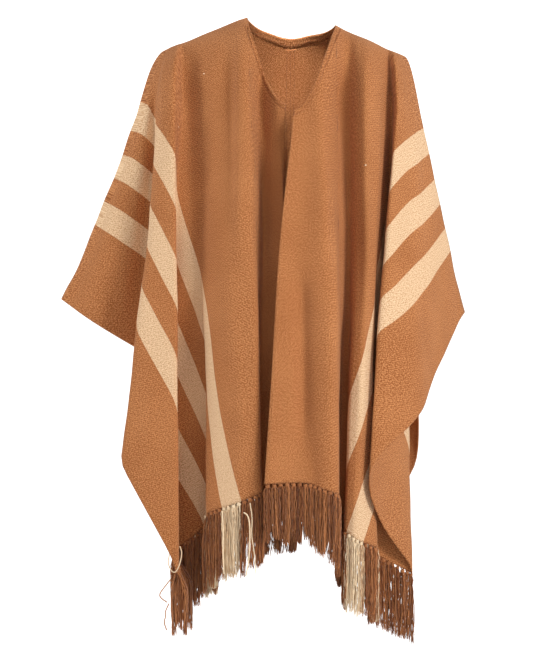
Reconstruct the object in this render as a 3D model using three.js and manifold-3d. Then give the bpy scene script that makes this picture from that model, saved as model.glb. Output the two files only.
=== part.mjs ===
import * as THREE from "three";
import { mergeVertices } from "three/addons/utils/BufferGeometryUtils.js";
import Module from "manifold-3d";

const wasm = await Module();
wasm.setup();

// ---------------------------------------------------------------- sizes, millimetres
// The ruana is two loom widths of wool twill, sewn together at the centre back and open down the front.
// The origin lies on the shoulder line at the middle of the neck; the front faces -Y and +Z is up.
const LOOM_WIDTH = 700;        // one panel from its centre edge to its outer selvedge
const WALL = 2.4;              // cloth wall
const GAP = 0.3;               // left between neighbouring pieces
const SEAM_X = 5;              // where the centre back seam hangs
const LEVEL_TOP = -150;        // height of the first fold level
const LEVEL_STEP = 240;        // from one fold level to the next
const NECK_HALF = 76;          // half the neck opening along the shoulder line
const NECK_BACK = 66;          // how far behind the shoulder line the back neck is cut
const NECK_TURN = 9;           // width of the turned neck hem
const TURN_WALL = 1.2;         // wall of the turned hem and of the seam allowances
const ALLOWANCE = 9;           // each pressed-open seam allowance at the centre back
const TASSELS = 60;            // knotted tassels along each quarter of the hem
const TASSEL_WIDTH = 7;        // at the knots
const TASSEL_TIP = 5;          // at the loose ends
const TASSEL_HALF_WALL = 1.6;  // half a tassel's thickness at the loose ends
const KNOT_DROP = 6;           // depth of the knotted strip the tassels hang from
const STRIP_HALF_TOP = 1.2;    // half the knotted strip's thickness at the hem
const STRIP_HALF_FOOT = 1.7;   // and where the tassels leave it
const ROWS_DOWN = 14;          // points down each section, from the shoulder to the hem
const ROWS_CROWD = 1.12;       // above 1, the points stand closer together near the shoulder
const NECK_CURVE = 1.6;        // shape of the front neck: 1 is a straight V, more is rounder
const NECK_PLACE = 80;         // place in the cloth where the neck point stands on the shoulder line
const SECTION_APART = 0.13;    // least room between two sections, in fold lines

// Neck point and shoulder tip of each side, as [x, z], and the depth of the front neck at its front edge.
// crown is the virtual top between the necks.
const SHOULDERS = {
  right: { neck: [-79, 23], tip: [-221, -35], crown: [5, 34], neckDepth: 145 },
  left: { neck: [90, 6], tip: [208, -45], crown: [5, 34], neckDepth: 157 },
};

// Every fold line runs from the shoulder to the hem. A row gives its name, its place in the cloth at the
// shoulder, then x, y and the place in the cloth at the four levels, its hem height and how soft it turns.
const FRONT_RIGHT = [
  ["edge", 0, [-7, -9, -5, -7], [-112, -112, -112, -110], [0, 0, 0, 0], -814, 0.3],
  ["tuck", 15, [-21, -5, 16, 24], [-108, -128, -142, -145], [18, 60, 78, 95], -816, 0.3],
  ["hollow", 40, [-44, -47, -56, -58], [-88, -100, -100, -95], [45, 125, 155, 190], -818, 0.3],
  ["ridge", 85, [-73, -60, -51, -44], [-124, -150, -170, -172], [92, 192, 240, 297], -817, 0.26],
  ["slope", 115, [-101, -107, -100, -93], [-100, -138, -158, -160], [140, 240, 285, 352], -838, 0.4],
  ["swell", 140, [-128, -135, -128, -121], [-98, -122, -142, -146], [180, 278, 327, 388], -847, 0.4],
  ["fall", 160, [-150, -150, -147, -146], [-84, -105, -120, -127], [215, 305, 375, 425], -859, 0.24],
  ["under", 170, [-161, -158, -138, -128], [-74, -98, -95, -65], [228, 312, 398, 519], -873, 0.34],
  ["recess", 182, [-173, -170, -166, -161], [-68, -88, -78, -72], [245, 328, 437, 566], -896, 0.4],
  ["inner", 194, [-189, -205, -212, -208], [-68, -72, -68, -66], [268, 370, 488, 602], -934, 0.24],
  ["front", 204, [-203, -198, -190, -188], [-100, -110, -134, -142], [290, 409, 534, 655], -952, 0.2],
  ["wing fold", 213, [-234, -250, -285, -320], [-68, -97, -132, -142], [312, 466, 622, 778], -1012, 0.2],
  ["wing back", 219, [-238, -215, -210, -212], [-48, -38, -25, -10], [318, 516, 721, 925], -1030, 0.3],
  ["wing", 224, [-253, -314, -380, -444], [-30, -42, -48, -52], [336, 574, 800, 1026], -1030, 0.4],
  ["arm", 228, [-273, -362, -489, -606], [0, -5, -10, -15], [341, 600, 858, 1116], -1030, 0.3],
];
const FRONT_LEFT = [
  ["edge", 0, [10, -16, -31, -47], [-122, -160, -188, -192], [0, 0, 0, 0], -801, 0.3],
  ["lie", 18, [30, 23, 28, 35], [-122, -150, -168, -165], [20, 38, 64, 88], -799, 0.4],
  ["swell", 45, [54, 65, 67, 68], [-126, -162, -188, -192], [48, 88, 112, 138], -813, 0.4],
  ["ridge", 70, [75, 81, 83, 84], [-108, -150, -176, -180], [72, 104, 135, 160], -819, 0.24],
  ["valley", 88, [98, 98, 88, 82], [-80, -82, -104, -96], [115, 170, 235, 290], -850, 0.36],
  ["channel", 102, [109, 110, 107, 108], [-78, -74, -94, -88], [138, 210, 285, 365], -868, 0.36],
  ["rise", 115, [119, 116, 104, 95], [-98, -102, -138, -132], [155, 235, 318, 405], -886, 0.3],
  ["crest", 135, [138, 136, 127, 118], [-112, -124, -152, -142], [188, 275, 343, 436], -901, 0.4],
  ["fall", 155, [161, 154, 147, 156], [-86, -105, -118, -98], [218, 297, 368, 480], -921, 0.2],
  ["turn", 163, [166, 158, 148, 142], [-76, -84, -74, -56], [228, 318, 415, 552], -930, 0.3],
  ["deep", 175, [184, 184, 218, 226], [-44, -10, 0, -15], [252, 360, 470, 632], -978, 0.18],
  ["sleeve", 186, [191, 165, 138, 123], [-80, -108, -148, -152], [276, 438, 615, 736], -1012, 0.2],
  ["hang", 194, [208, 215, 223, 226], [-60, -82, -105, -110], [284, 482, 650, 830], -1030, 0.4],
  ["outer", 200, [222, 249, 257, 276], [-35, -40, -45, -40], [295, 504, 705, 906], -1030, 0.4],
  ["arm", 207, [239, 293, 359, 426], [0, 25, 80, 120], [302, 552, 862, 1140], -1030, 0.3],
];
const BACK_RIGHT = [
  ["seam", 0, [5, 5, 5, 5], [108, 118, 122, 125], [0, 0, 0, 0], -800, 0.3],
  ["swell", 35, [-34, -32, -28, -26], [113, 139, 166, 178], [38, 52, 62, 70], -802, 0.32],
  ["dip", 70, [-72, -64, -54, -50], [103, 102, 89, 82], [75, 105, 125, 140], -806, 0.32],
  ["ridge", 100, [-105, -105, -100, -100], [113, 156, 194, 210], [112, 165, 205, 235], -815, 0.32],
  ["hollow", 135, [-138, -136, -132, -134], [99, 92, 77, 66], [150, 218, 282, 330], -832, 0.32],
  ["crest", 165, [-168, -175, -182, -190], [99, 141, 184, 200], [190, 280, 370, 430], -848, 0.3],
  ["under", 190, [-190, -186, -176, -168], [77, 47, 20, 12], [225, 345, 465, 560], -864, 0.32],
  ["front", 205, [-214, -214, -218, -222], [75, 109, 152, 166], [262, 420, 560, 690], -892, 0.24],
  ["wing fold", 213, [-234, -252, -278, -304], [58, 88, 110, 120], [285, 470, 640, 800], -940, 0.24],
  ["wing back", 219, [-242, -244, -254, -266], [40, 44, 48, 50], [298, 530, 750, 960], -1010, 0.3],
  ["wing", 224, [-256, -314, -386, -456], [28, 42, 45, 45], [325, 572, 810, 1050], -1010, 0.32],
  ["arm", 228, [-273, -362, -489, -606], [0, -5, -10, -15], [341, 600, 858, 1116], -1010, 0.3],
];
const BACK_LEFT = [
  ["seam", 0, [5, 5, 5, 5], [108, 118, 122, 125], [0, 0, 0, 0], -800, 0.3],
  ["swell", 35, [42, 40, 36, 34], [113, 136, 160, 169], [38, 52, 62, 70], -802, 0.32],
  ["dip", 70, [78, 70, 62, 58], [103, 103, 94, 88], [75, 105, 125, 140], -806, 0.32],
  ["ridge", 100, [108, 106, 102, 100], [113, 153, 188, 202], [112, 165, 205, 235], -815, 0.32],
  ["hollow", 130, [135, 132, 126, 124], [97, 92, 80, 70], [150, 218, 282, 330], -832, 0.32],
  ["crest", 155, [160, 162, 166, 170], [97, 144, 185, 202], [190, 280, 370, 430], -848, 0.3],
  ["under", 175, [180, 172, 158, 144], [79, 54, 26, 18], [222, 345, 465, 560], -864, 0.32],
  ["front", 186, [196, 193, 194, 197], [74, 116, 160, 172], [248, 415, 560, 690], -884, 0.24],
  ["wing fold", 194, [212, 230, 244, 248], [60, 112, 146, 157], [272, 455, 600, 755], -940, 0.24],
  ["outer", 200, [224, 232, 242, 248], [42, 62, 90, 110], [284, 500, 720, 930], -1010, 0.3],
  ["wing", 204, [232, 266, 312, 350], [22, 50, 92, 130], [293, 530, 800, 1050], -1010, 0.32],
  ["arm", 207, [239, 293, 359, 426], [0, 25, 80, 120], [302, 552, 862, 1140], -1010, 0.3],
];
// Extra wall sections where the neck is cut, by their place in the cloth at the shoulder.
const NECK_SECTIONS = [7, 27, 52, 62, 70];
// Length of the loose ends along each hem, as [place in the cloth, length].
const FRINGE_LENGTHS = [
  [0, 99], [70, 102], [110, 116], [160, 127], [300, 130], [420, 130], [560, 126], [700, 124],
];

// ---------------------------------------------------------------- the draped surface
const mix = (a, b, t) => a + (b - a) * t;

/** Value on a short [place, value] table. */
function along(table, place) {
  let k = 1;
  while (k < table.length - 1 && table[k][0] < place) k += 1;
  const [p0, v0] = table[k - 1];
  const [p1, v1] = table[k];
  return mix(v0, v1, Math.min(1, Math.max(0, (place - p0) / (p1 - p0))));
}

/** Where `isBelow` turns false between two values, found by halving. */
function turningPoint(low, high, isBelow) {
  let [lo, hi] = [low, high];
  for (let n = 0; n < 40; n += 1) {
    const mid = (lo + hi) / 2;
    if (isBelow(mid)) lo = mid;
    else hi = mid;
  }
  return (lo + hi) / 2;
}

/** Smooth curve through a fold line's four level values, straight on below the last. */
function throughLevels(v, w) {
  const i = Math.min(2, Math.max(0, Math.floor(w)));
  const f = w - i;
  const m1 = i > 0 ? (v[i + 1] - v[i - 1]) / 2 : v[1] - v[0];
  const m2 = i < 2 ? (v[i + 2] - v[i]) / 2 : v[3] - v[2];
  if (f > 1) return v[i + 1] + m2 * (f - 1);
  const f2 = f * f;
  const f3 = f2 * f;
  const values = (2 * f3 - 3 * f2 + 1) * v[i] + (3 * f2 - 2 * f3) * v[i + 1];
  return values + (f3 - 2 * f2 + f) * m1 + (f3 - f2) * m2;
}

/** Point and place in the cloth on one fold line; w is -1 at the shoulder, 0 to 3 at the levels. */
function foldPoint(row, w, shoulder) {
  const [, top, x, y, u] = row;
  if (w >= 0) {
    return [throughLevels(x, w), throughLevels(y, w), LEVEL_TOP - LEVEL_STEP * w, throughLevels(u, w)];
  }
  const { neck, tip, crown } = shoulder;
  const inner = top / NECK_PLACE;
  const outer = (top - NECK_PLACE) / (shoulder.tipPlace - NECK_PLACE);
  const x0 = inner < 1 ? mix(crown[0], neck[0], inner) : mix(neck[0], tip[0], outer);
  const z0 = inner < 1 ? mix(crown[1], neck[1], inner * inner) : mix(neck[1], tip[1], outer);
  const t = w + 1;
  const turn = t * Math.PI / 2;
  return [
    mix(x0, x[0], t),
    y[0] * Math.sin(turn),
    mix(z0, LEVEL_TOP, 1 - Math.cos(turn)),
    mix(top, u[0], t),
  ];
}

/** One quarter of the garment: a surface over (a, w), where a counts the fold lines from the centre. */
class Quarter {
  constructor(rows, side, isBack) {
    this.rows = rows;
    this.isBack = isBack;
    this.shoulder = { ...SHOULDERS[side], tipPlace: rows[rows.length - 1][1] };
    this.corner = this.findCorner();
  }

  /** Shares of the fold lines that make up the surface at a: flat between them, rounded at each. */
  shares(a) {
    const last = this.rows.length - 1;
    const k = Math.min(last, Math.max(0, Math.round(a)));
    const soft = this.rows[k][6];
    const f = a - k;
    if (k === 0 || k === last || Math.abs(f) >= soft) {
      const i = Math.min(last - 1, Math.max(0, Math.floor(a)));
      return [[i, 1 - (a - i)], [i + 1, a - i]];
    }
    const t = (f + soft) / (2 * soft);
    const before = (1 - t) * (1 - t) * soft;
    const after = t * t * soft;
    return [[k - 1, before], [k, 1 - before - after], [k + 1, after]];
  }

  at(a, w) {
    const out = [0, 0, 0, 0];
    for (const [k, share] of this.shares(a)) {
      const p = foldPoint(this.rows[k], w, this.shoulder);
      for (let c = 0; c < 4; c += 1) out[c] += share * p[c];
    }
    return out;
  }

  value(a, column) {
    return this.shares(a).reduce((sum, [k, share]) => sum + share * this.rows[k][column], 0);
  }

  /** The a at which the cloth's place at the shoulder is `top`. */
  byTop(top) {
    return turningPoint(0, this.rows.length - 1, (a) => this.value(a, 1) < top);
  }

  hemAt(a) {
    return (LEVEL_TOP - this.value(a, 5)) / LEVEL_STEP;
  }

  /** Where a section leaves the neck edge or the shoulder line; `turn` widens the neck by that much. */
  startAt(a, turn = 0) {
    const s = this.value(a, 1) / (NECK_HALF + turn);
    if (s >= 0.9999) return -1;
    const cut = this.isBack
      ? (p) => p[1] - (NECK_BACK + turn) * Math.sqrt(1 - s * s)
      : (p) => -(this.shoulder.neckDepth + turn) * (1 - s ** NECK_CURVE) - p[2];
    return turningPoint(-1, 0.4, (w) => cut(this.at(a, w)) < 0);
  }

  /** Where a section ends: at the hem or, further out, at the outer selvedge. */
  endAt(a) {
    const hem = this.hemAt(a);
    if (this.at(a, hem)[3] <= LOOM_WIDTH + 1e-6) return hem;
    return turningPoint(0, hem, (w) => this.at(a, w)[3] < LOOM_WIDTH);
  }

  /** The section that runs to the bottom corner, where hem and selvedge meet. */
  findCorner() {
    return turningPoint(1, this.rows.length - 1, (a) => this.at(a, this.hemAt(a))[3] < LOOM_WIDTH);
  }

  /** Sections at both sides and the middle of each fold, at the neck, its hem and the corner. */
  sections() {
    const last = this.rows.length - 1;
    const fixed = [0, last, this.corner, this.byTop(NECK_HALF), this.byTop(NECK_HALF + NECK_TURN)];
    if (this.isBack) fixed.push(ALLOWANCE / Math.abs(this.rows[1][2][1] - SEAM_X));
    const list = NECK_SECTIONS.map((top) => this.byTop(top));
    for (let k = 1; k < last; k += 1) {
      const soft = this.rows[k][6];
      list.push(k - soft, k, k + soft);
    }
    const kept = list.filter((a) => !fixed.some((b) => Math.abs(a - b) < SECTION_APART));
    const all = [...fixed, ...kept].sort((p, q) => p - q);
    return all.filter((a, i) => i === 0 || a - all[i - 1] > 0.05);
  }

  /** The points down one section: first the edge, then the neck hem's line where there is one. */
  stations(a) {
    const [start, end] = [this.startAt(a), this.endAt(a)];
    const hemmed = this.value(a, 1) < NECK_HALF + NECK_TURN - 0.01;
    const from = hemmed ? this.startAt(a, NECK_TURN) : start;
    const skip = hemmed ? 1 : 0;
    const down = Array.from({ length: ROWS_DOWN + 1 - skip }, (_, j) => j / (ROWS_DOWN - skip));
    const list = down.map((t) => mix(from, end, t ** ROWS_CROWD));
    return hemmed ? [start, ...list] : list;
  }
}

// ---------------------------------------------------------------- turning surfaces into walls
/** Whether a point stands on the centre back seam. */
const onSeam = (p) => Math.abs(p.x - SEAM_X) < GAP && p.y > NECK_BACK / 2;

/** Normals of a sheet of points and triangles; on the centre seam they stay square to the seam. */
function sheetNormals(points, faces) {
  const normals = points.map(() => new THREE.Vector3());
  for (const [a, b, c] of faces) {
    const n = points[b].clone().sub(points[a]).cross(points[c].clone().sub(points[a]));
    for (const i of [a, b, c]) normals[i].add(n);
  }
  points.forEach((p, i) => {
    if (onSeam(p)) normals[i].x = 0;
    normals[i].normalize();
  });
  return normals;
}

/** Closed wall between two distances from a sheet; its open edges are closed by side faces. */
function wall({ points, normals, faces }, outer, inner) {
  const positions = [];
  for (const distance of [outer, inner]) {
    points.forEach((p, i) => positions.push(...p.clone().addScaledVector(normals[i], distance).toArray()));
  }
  const count = points.length;
  const index = [];
  const edges = new Map();
  for (const [a, b, c] of faces) {
    index.push(a, b, c, count + c, count + b, count + a);
    for (const [i, j] of [[a, b], [b, c], [c, a]]) edges.set(`${i},${j}`, [i, j]);
  }
  for (const [i, j] of edges.values()) {
    if (edges.has(`${j},${i}`)) continue;
    index.push(j, i, count + i, j, count + i, count + j);
  }
  return solid(positions, index);
}

function solid(positions, index) {
  const geometry = new THREE.BufferGeometry();
  geometry.setAttribute("position", new THREE.Float32BufferAttribute(positions, 3));
  geometry.setIndex(index);
  geometry.computeVertexNormals();
  return geometry;
}

/** One panel: a loom width that hangs down the front, over the shoulder and down the back. */
function panelSheet(front, back, isRight) {
  const points = [];
  const faces = [];
  const neckFaces = [];
  const add = (p) => points.push(new THREE.Vector3(p[0], p[1], p[2])) - 1;
  const tri = (a, b, c, flip, inHem) => {
    const face = flip ? [a, c, b] : [a, b, c];
    faces.push(face);
    if (inHem) neckFaces.push(face);
  };
  // The cell beside the neck point is cut along the neck hem's line, the others along their own.
  const strip = (grid, neck, flip, first) => {
    for (let i = 0; i + 1 < grid.length; i += 1) {
      for (let j = first(i); j < ROWS_DOWN; j += 1) {
        const [a, b, c, d] = [grid[i][j], grid[i + 1][j], grid[i + 1][j + 1], grid[i][j + 1]];
        if (i >= neck && j === 0) {
          tri(a, b, d, flip, i === neck);
          tri(b, c, d, flip, false);
        } else {
          tri(a, b, c, flip, j === 0);
          tri(a, c, d, flip, j === 0);
        }
      }
    }
  };
  const frontAt = front.sections();
  const frontGrid = frontAt.map((a) => front.stations(a).map((w) => add(front.at(a, w))));
  const neckFront = frontAt.indexOf(front.byTop(NECK_HALF));
  strip(frontGrid, neckFront, !isRight, () => 0);

  const backAt = back.sections();
  const neckBack = backAt.indexOf(back.byTop(NECK_HALF));
  const lastBack = backAt.length - 1;
  const backGrid = backAt.map((a, i) => {
    if (i === lastBack) return frontGrid[frontGrid.length - 1];
    return back.stations(a).map((w, j) => {
      if (j > 0 || i < neckBack) return add(back.at(a, w));
      return i === neckBack ? frontGrid[neckFront][0] : -1;
    });
  });
  strip(backGrid, lastBack, isRight, (i) => (i >= neckBack ? 1 : 0));

  // Join the back to the front's shoulder points, which stand at other places along the line.
  const upper = frontGrid.slice(neckFront).map((section, i) => ({
    id: section[0], top: front.value(frontAt[neckFront + i], 1),
  }));
  const lower = backGrid.slice(neckBack).map((section, i) => ({
    id: section[1], top: back.value(backAt[neckBack + i], 1),
  }));
  let [i, j] = [0, 0];
  while (i + 1 < upper.length || j + 1 < lower.length) {
    const stepUpper = i === 0 || j + 1 >= lower.length
      || (i + 1 < upper.length && upper[i + 1].top - lower[j].top < lower[j + 1].top - upper[i].top);
    if (stepUpper) {
      tri(upper[i].id, upper[i + 1].id, lower[j].id, isRight, i === 0);
      i += 1;
    } else {
      tri(upper[i].id, lower[j + 1].id, lower[j].id, isRight, false);
      j += 1;
    }
  }
  for (const p of points) if (onSeam(p)) p.x = SEAM_X + (isRight ? -GAP / 2 : GAP / 2);
  const normals = sheetNormals(points, faces);
  const hem = (quarter, at, grid) => at.map((a, k) => ({ a, id: grid[k][ROWS_DOWN] }))
    .filter(({ a }) => a <= quarter.corner)
    .map(({ a, id }) => {
      const place = quarter.at(a, quarter.endAt(a))[3];
      return { place, point: points[id], normal: normals[id] };
    });
  return {
    points,
    faces,
    normals,
    neckFaces,
    seam: backGrid[0],
    allowance: backGrid[1],
    frontHem: hem(front, frontAt, frontGrid),
    backHem: hem(back, backAt, backGrid),
  };
}

// ---------------------------------------------------------------- neck hem, seam, fringe
/** Parts of both panels' sheets as one sheet; points that meet on the centre seam become one. */
function joinedSheet(parts) {
  const points = [];
  const normals = [];
  const faces = [];
  const ids = new Map();
  for (const { sheet, faces: some } of parts) {
    for (const face of some) {
      faces.push(face.map((i) => {
        const p = sheet.points[i];
        const x = onSeam(p) ? SEAM_X : p.x;
        const key = [x, p.y, p.z].map((v) => v.toFixed(3)).join();
        if (!ids.has(key)) {
          ids.set(key, points.push(new THREE.Vector3(x, p.y, p.z)) - 1);
          normals.push(sheet.normals[i].clone());
        }
        return ids.get(key);
      }));
    }
  }
  return { points, normals, faces };
}

/** The turned hem round the neck, from one front edge round the back to the other. */
function neckHem(right, left) {
  const sheet = joinedSheet([right, left].map((panel) => ({ sheet: panel, faces: panel.neckFaces })));
  return wall(sheet, -WALL / 2 - GAP, -WALL / 2 - GAP - TURN_WALL);
}

/** The two seam allowances down the inside of the back, pressed open and stitched flat. */
function backSeam(right, left) {
  const points = [];
  const normals = [];
  const faces = [];
  const rows = ROWS_DOWN - 1;
  for (let j = 0; j <= rows; j += 1) {
    for (const [sheet, line] of [[right, right.allowance], [right, right.seam], [left, left.allowance]]) {
      const p = sheet.points[line[j + 1]].clone();
      if (j === 0) p.lerp(sheet.points[line[j + 2]], 0.05);
      if (j === rows) p.lerp(sheet.points[line[j]], 0.02);
      if (line === right.seam) p.x = SEAM_X;
      points.push(p);
      normals.push(sheet.normals[line[j + 1]]);
    }
  }
  for (let j = 0; j < rows; j += 1) {
    for (const i of [0, 1]) {
      const [a, b, c, d] = [j * 3 + i, j * 3 + i + 1, j * 3 + i + 4, j * 3 + i + 3];
      faces.push([a, b, c], [a, c, d]);
    }
  }
  return wall({ points, normals, faces }, -WALL / 2 - GAP, -WALL / 2 - GAP - TURN_WALL);
}

/** Small fixed variation for tassel n. */
const sway = (n, k) => Math.sin(n * 12.9898 + k * 78.233) * 0.5 + Math.sin(n * 4.1414 + k * 37.719) * 0.5;

/** Knotted strip along a quarter's hem with its tassels hanging from it, as one body. */
function fringe(hem, mirrored) {
  const at = (place) => {
    let k = 1;
    while (k < hem.length - 1 && hem[k].place < place) k += 1;
    const [p, q] = [hem[k - 1], hem[k]];
    const f = Math.min(1, Math.max(0, (place - p.place) / (q.place - p.place)));
    const normal = p.normal.clone().lerp(q.normal, f).normalize();
    return { point: p.point.clone().lerp(q.point, f), normal };
  };
  const positions = [];
  const index = [];
  const add = (p) => positions.push(p.x, p.y, p.z) / 3 - 1;
  const face = (a, b, c, d) => {
    if (mirrored) index.push(a, c, b, a, d, c);
    else index.push(a, b, c, a, c, d);
  };
  const pitch = LOOM_WIDTH / TASSELS;
  const edges = [];
  for (let n = 0; n < TASSELS; n += 1) {
    for (const side of [-0.5, 0.5]) {
      const place = (n + 0.5) * pitch + side * TASSEL_WIDTH;
      const { point, normal } = at(place);
      point.z -= GAP + Math.abs(normal.z) * WALL / 2;
      edges.push({ place, point, flat: normal.setZ(0).normalize() });
    }
  }
  // Where the hem turns down between two edges of the strip, both drop clear of the turn.
  for (const { place, point } of hem) {
    const k = edges.findIndex((edge) => edge.place > place);
    if (k < 1) continue;
    const [p, q] = [edges[k - 1], edges[k]];
    const chord = mix(p.point.z, q.point.z, (place - p.place) / (q.place - p.place));
    const drop = Math.max(0, chord - point.z + GAP);
    p.point.z -= drop;
    q.point.z -= drop;
  }
  const corners = [
    [0, STRIP_HALF_TOP], [0, -STRIP_HALF_TOP], [KNOT_DROP, -STRIP_HALF_FOOT], [KNOT_DROP, STRIP_HALF_FOOT],
  ];
  const rings = edges.map(({ point, flat }) => {
    const ids = corners.map(([down, out]) => {
      const p = point.clone().addScaledVector(flat, out);
      p.z -= down;
      return add(p);
    });
    return { point, flat, ids };
  });
  for (let r = 0; r < rings.length; r += 1) {
    const p = rings[r].ids;
    if (r + 1 === rings.length) {
      face(p[3], p[2], p[1], p[0]);
      break;
    }
    const q = rings[r + 1].ids;
    if (r === 0) face(p[0], p[1], p[2], p[3]);
    face(p[0], q[0], q[1], p[1]);
    face(p[1], q[1], q[2], p[2]);
    face(p[3], q[3], q[0], p[0]);
    if (r % 2 === 1) {
      face(p[2], q[2], q[3], p[3]);
      continue;
    }
    const n = r / 2;
    const length = along(FRINGE_LENGTHS, (n + 0.5) * pitch) + 5 * sway(n, 1);
    const middle = rings[r].point.clone().add(rings[r + 1].point).multiplyScalar(0.5);
    const spread = rings[r + 1].point.clone().sub(rings[r].point).setZ(0);
    const half = Math.min(TASSEL_TIP, spread.length() * 0.7) / 2;
    spread.normalize();
    const out = rings[r].flat;
    const tip = middle.clone().add(new THREE.Vector3(0, 0, -length));
    tip.addScaledVector(spread, 0.4 * half * sway(n, 2)).addScaledVector(out, 2 * sway(n, 3));
    const ends = [[-1, -1], [1, -1], [1, 1], [-1, 1]].map(([s, t]) => add(
      tip.clone().addScaledVector(spread, s * half).addScaledVector(out, t * TASSEL_HALF_WALL),
    ));
    const root = [p[2], q[2], q[3], p[3]];
    for (let k = 0; k < 4; k += 1) {
      const m = (k + 1) % 4;
      face(root[k], root[m], ends[m], ends[k]);
    }
    face(ends[0], ends[1], ends[2], ends[3]);
  }
  return solid(positions, index);
}

/** What is left of a body clear of another; only its largest piece is kept. */
function clearOf(body, other) {
  const [mine, theirs] = [body, other].map((geometry) => {
    const bare = new THREE.BufferGeometry().setAttribute("position", geometry.getAttribute("position"));
    const merged = mergeVertices(bare.setIndex(geometry.index), 1e-4);
    const triVerts = new Uint32Array(merged.index.array);
    return new wasm.Manifold(
      new wasm.Mesh({ numProp: 3, vertProperties: merged.attributes.position.array, triVerts }),
    );
  });
  const pieces = mine.subtract(theirs).decompose().sort((p, q) => q.volume() - p.volume());
  const { vertProperties, triVerts } = pieces[0].getMesh();
  return solid([...vertProperties], [...triVerts]);
}

// ---------------------------------------------------------------- the garment
const quarters = {
  frontRight: new Quarter(FRONT_RIGHT, "right", false),
  frontLeft: new Quarter(FRONT_LEFT, "left", false),
  backRight: new Quarter(BACK_RIGHT, "right", true),
  backLeft: new Quarter(BACK_LEFT, "left", true),
};
const WOOL = 0xb06c35;
const HEM_WOOL = 0xa86530;
const YARN = 0x9a5a2c;
const group = new THREE.Group();
group.name = "ruana";

function addPiece(name, geometry, color = WOOL) {
  const material = new THREE.MeshStandardMaterial({ color, roughness: 0.95, metalness: 0 });
  const mesh = new THREE.Mesh(geometry, material);
  mesh.name = name;
  group.add(mesh);
}

const right = panelSheet(quarters.frontRight, quarters.backRight, true);
const left = panelSheet(quarters.frontLeft, quarters.backLeft, false);
addPiece("right_panel", wall(right, WALL / 2, -WALL / 2));
addPiece("left_panel", wall(left, WALL / 2, -WALL / 2));
addPiece("neck_hem", neckHem(right, left), HEM_WOOL);
addPiece("back_seam", backSeam(right, left), HEM_WOOL);
// The tassels stand clear of the folds they hang beside.
const rightRoom = wall(right, WALL / 2 + 2 * GAP, -WALL / 2 - 2 * GAP);
const leftRoom = wall(left, WALL / 2 + 2 * GAP, -WALL / 2 - 2 * GAP);
addPiece("fringe_front_right", clearOf(fringe(right.frontHem, true), rightRoom), YARN);
addPiece("fringe_front_left", clearOf(fringe(left.frontHem, false), leftRoom), YARN);
addPiece("fringe_back_right", clearOf(fringe(right.backHem, false), rightRoom), YARN);
addPiece("fringe_back_left", clearOf(fringe(left.backHem, true), leftRoom), YARN);

export default group;
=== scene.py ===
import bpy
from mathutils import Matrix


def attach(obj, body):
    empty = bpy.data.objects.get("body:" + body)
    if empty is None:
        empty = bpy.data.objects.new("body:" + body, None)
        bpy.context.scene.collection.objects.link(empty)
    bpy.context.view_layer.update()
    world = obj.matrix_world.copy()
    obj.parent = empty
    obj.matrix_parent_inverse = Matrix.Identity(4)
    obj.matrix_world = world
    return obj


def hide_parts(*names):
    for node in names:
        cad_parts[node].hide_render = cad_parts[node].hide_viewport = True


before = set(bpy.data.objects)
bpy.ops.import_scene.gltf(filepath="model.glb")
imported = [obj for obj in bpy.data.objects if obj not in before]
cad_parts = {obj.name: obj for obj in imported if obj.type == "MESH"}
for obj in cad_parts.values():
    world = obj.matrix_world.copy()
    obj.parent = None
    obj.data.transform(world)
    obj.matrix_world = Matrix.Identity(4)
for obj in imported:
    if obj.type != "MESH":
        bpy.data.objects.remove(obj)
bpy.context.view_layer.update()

# ---------------------------------------------------------------- the two cloth panels
# Each panel is one loom width of brown wool twill with three cream stripes near its outer selvedge.
# It hangs down the front, over the shoulder and down the back; the two are sewn at the centre back.
# The cloth is woven, lightly brushed and left with its selvedges, so the front edges need no hem.
import math
import bmesh
import bpy
import numpy as np
from mathutils import Vector

# Sizes are in millimetres. Places in the cloth count across a panel from its centre edge; a stripe
# is from one place to another, and NECK_POINT is where the neck meets the shoulder line. Heights count
# in levels: -1 on the shoulder line, 0 at LEVEL_TOP and one more for each LEVEL_STEP down.
LOOM_WIDTH = 700.0
WALL = 2.3
STRIPES = ((327, 373), (419, 465), (511, 557))
SEAM_X = 5.0
SEAM_GAP = 0.15
LEVEL_TOP = -150.0
LEVEL_STEP = 240.0
NECK_HALF = 76.0
NECK_BACK = 66.0
NECK_POINT = 80.0
NECK_ROUNDNESS = 1.6
NECK_TURN = 9.0
SHOULDER_LEVEL = -1.0
LOWEST_NECK = 0.4

SHOULDERS = {
    "right": {"neck": (-79, 23), "tip": (-221, -35), "crown": (5, 34), "neck_depth": 145.0},
    "left": {"neck": (90, 6), "tip": (208, -45), "crown": (5, 34), "neck_depth": 157.0},
}

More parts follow.
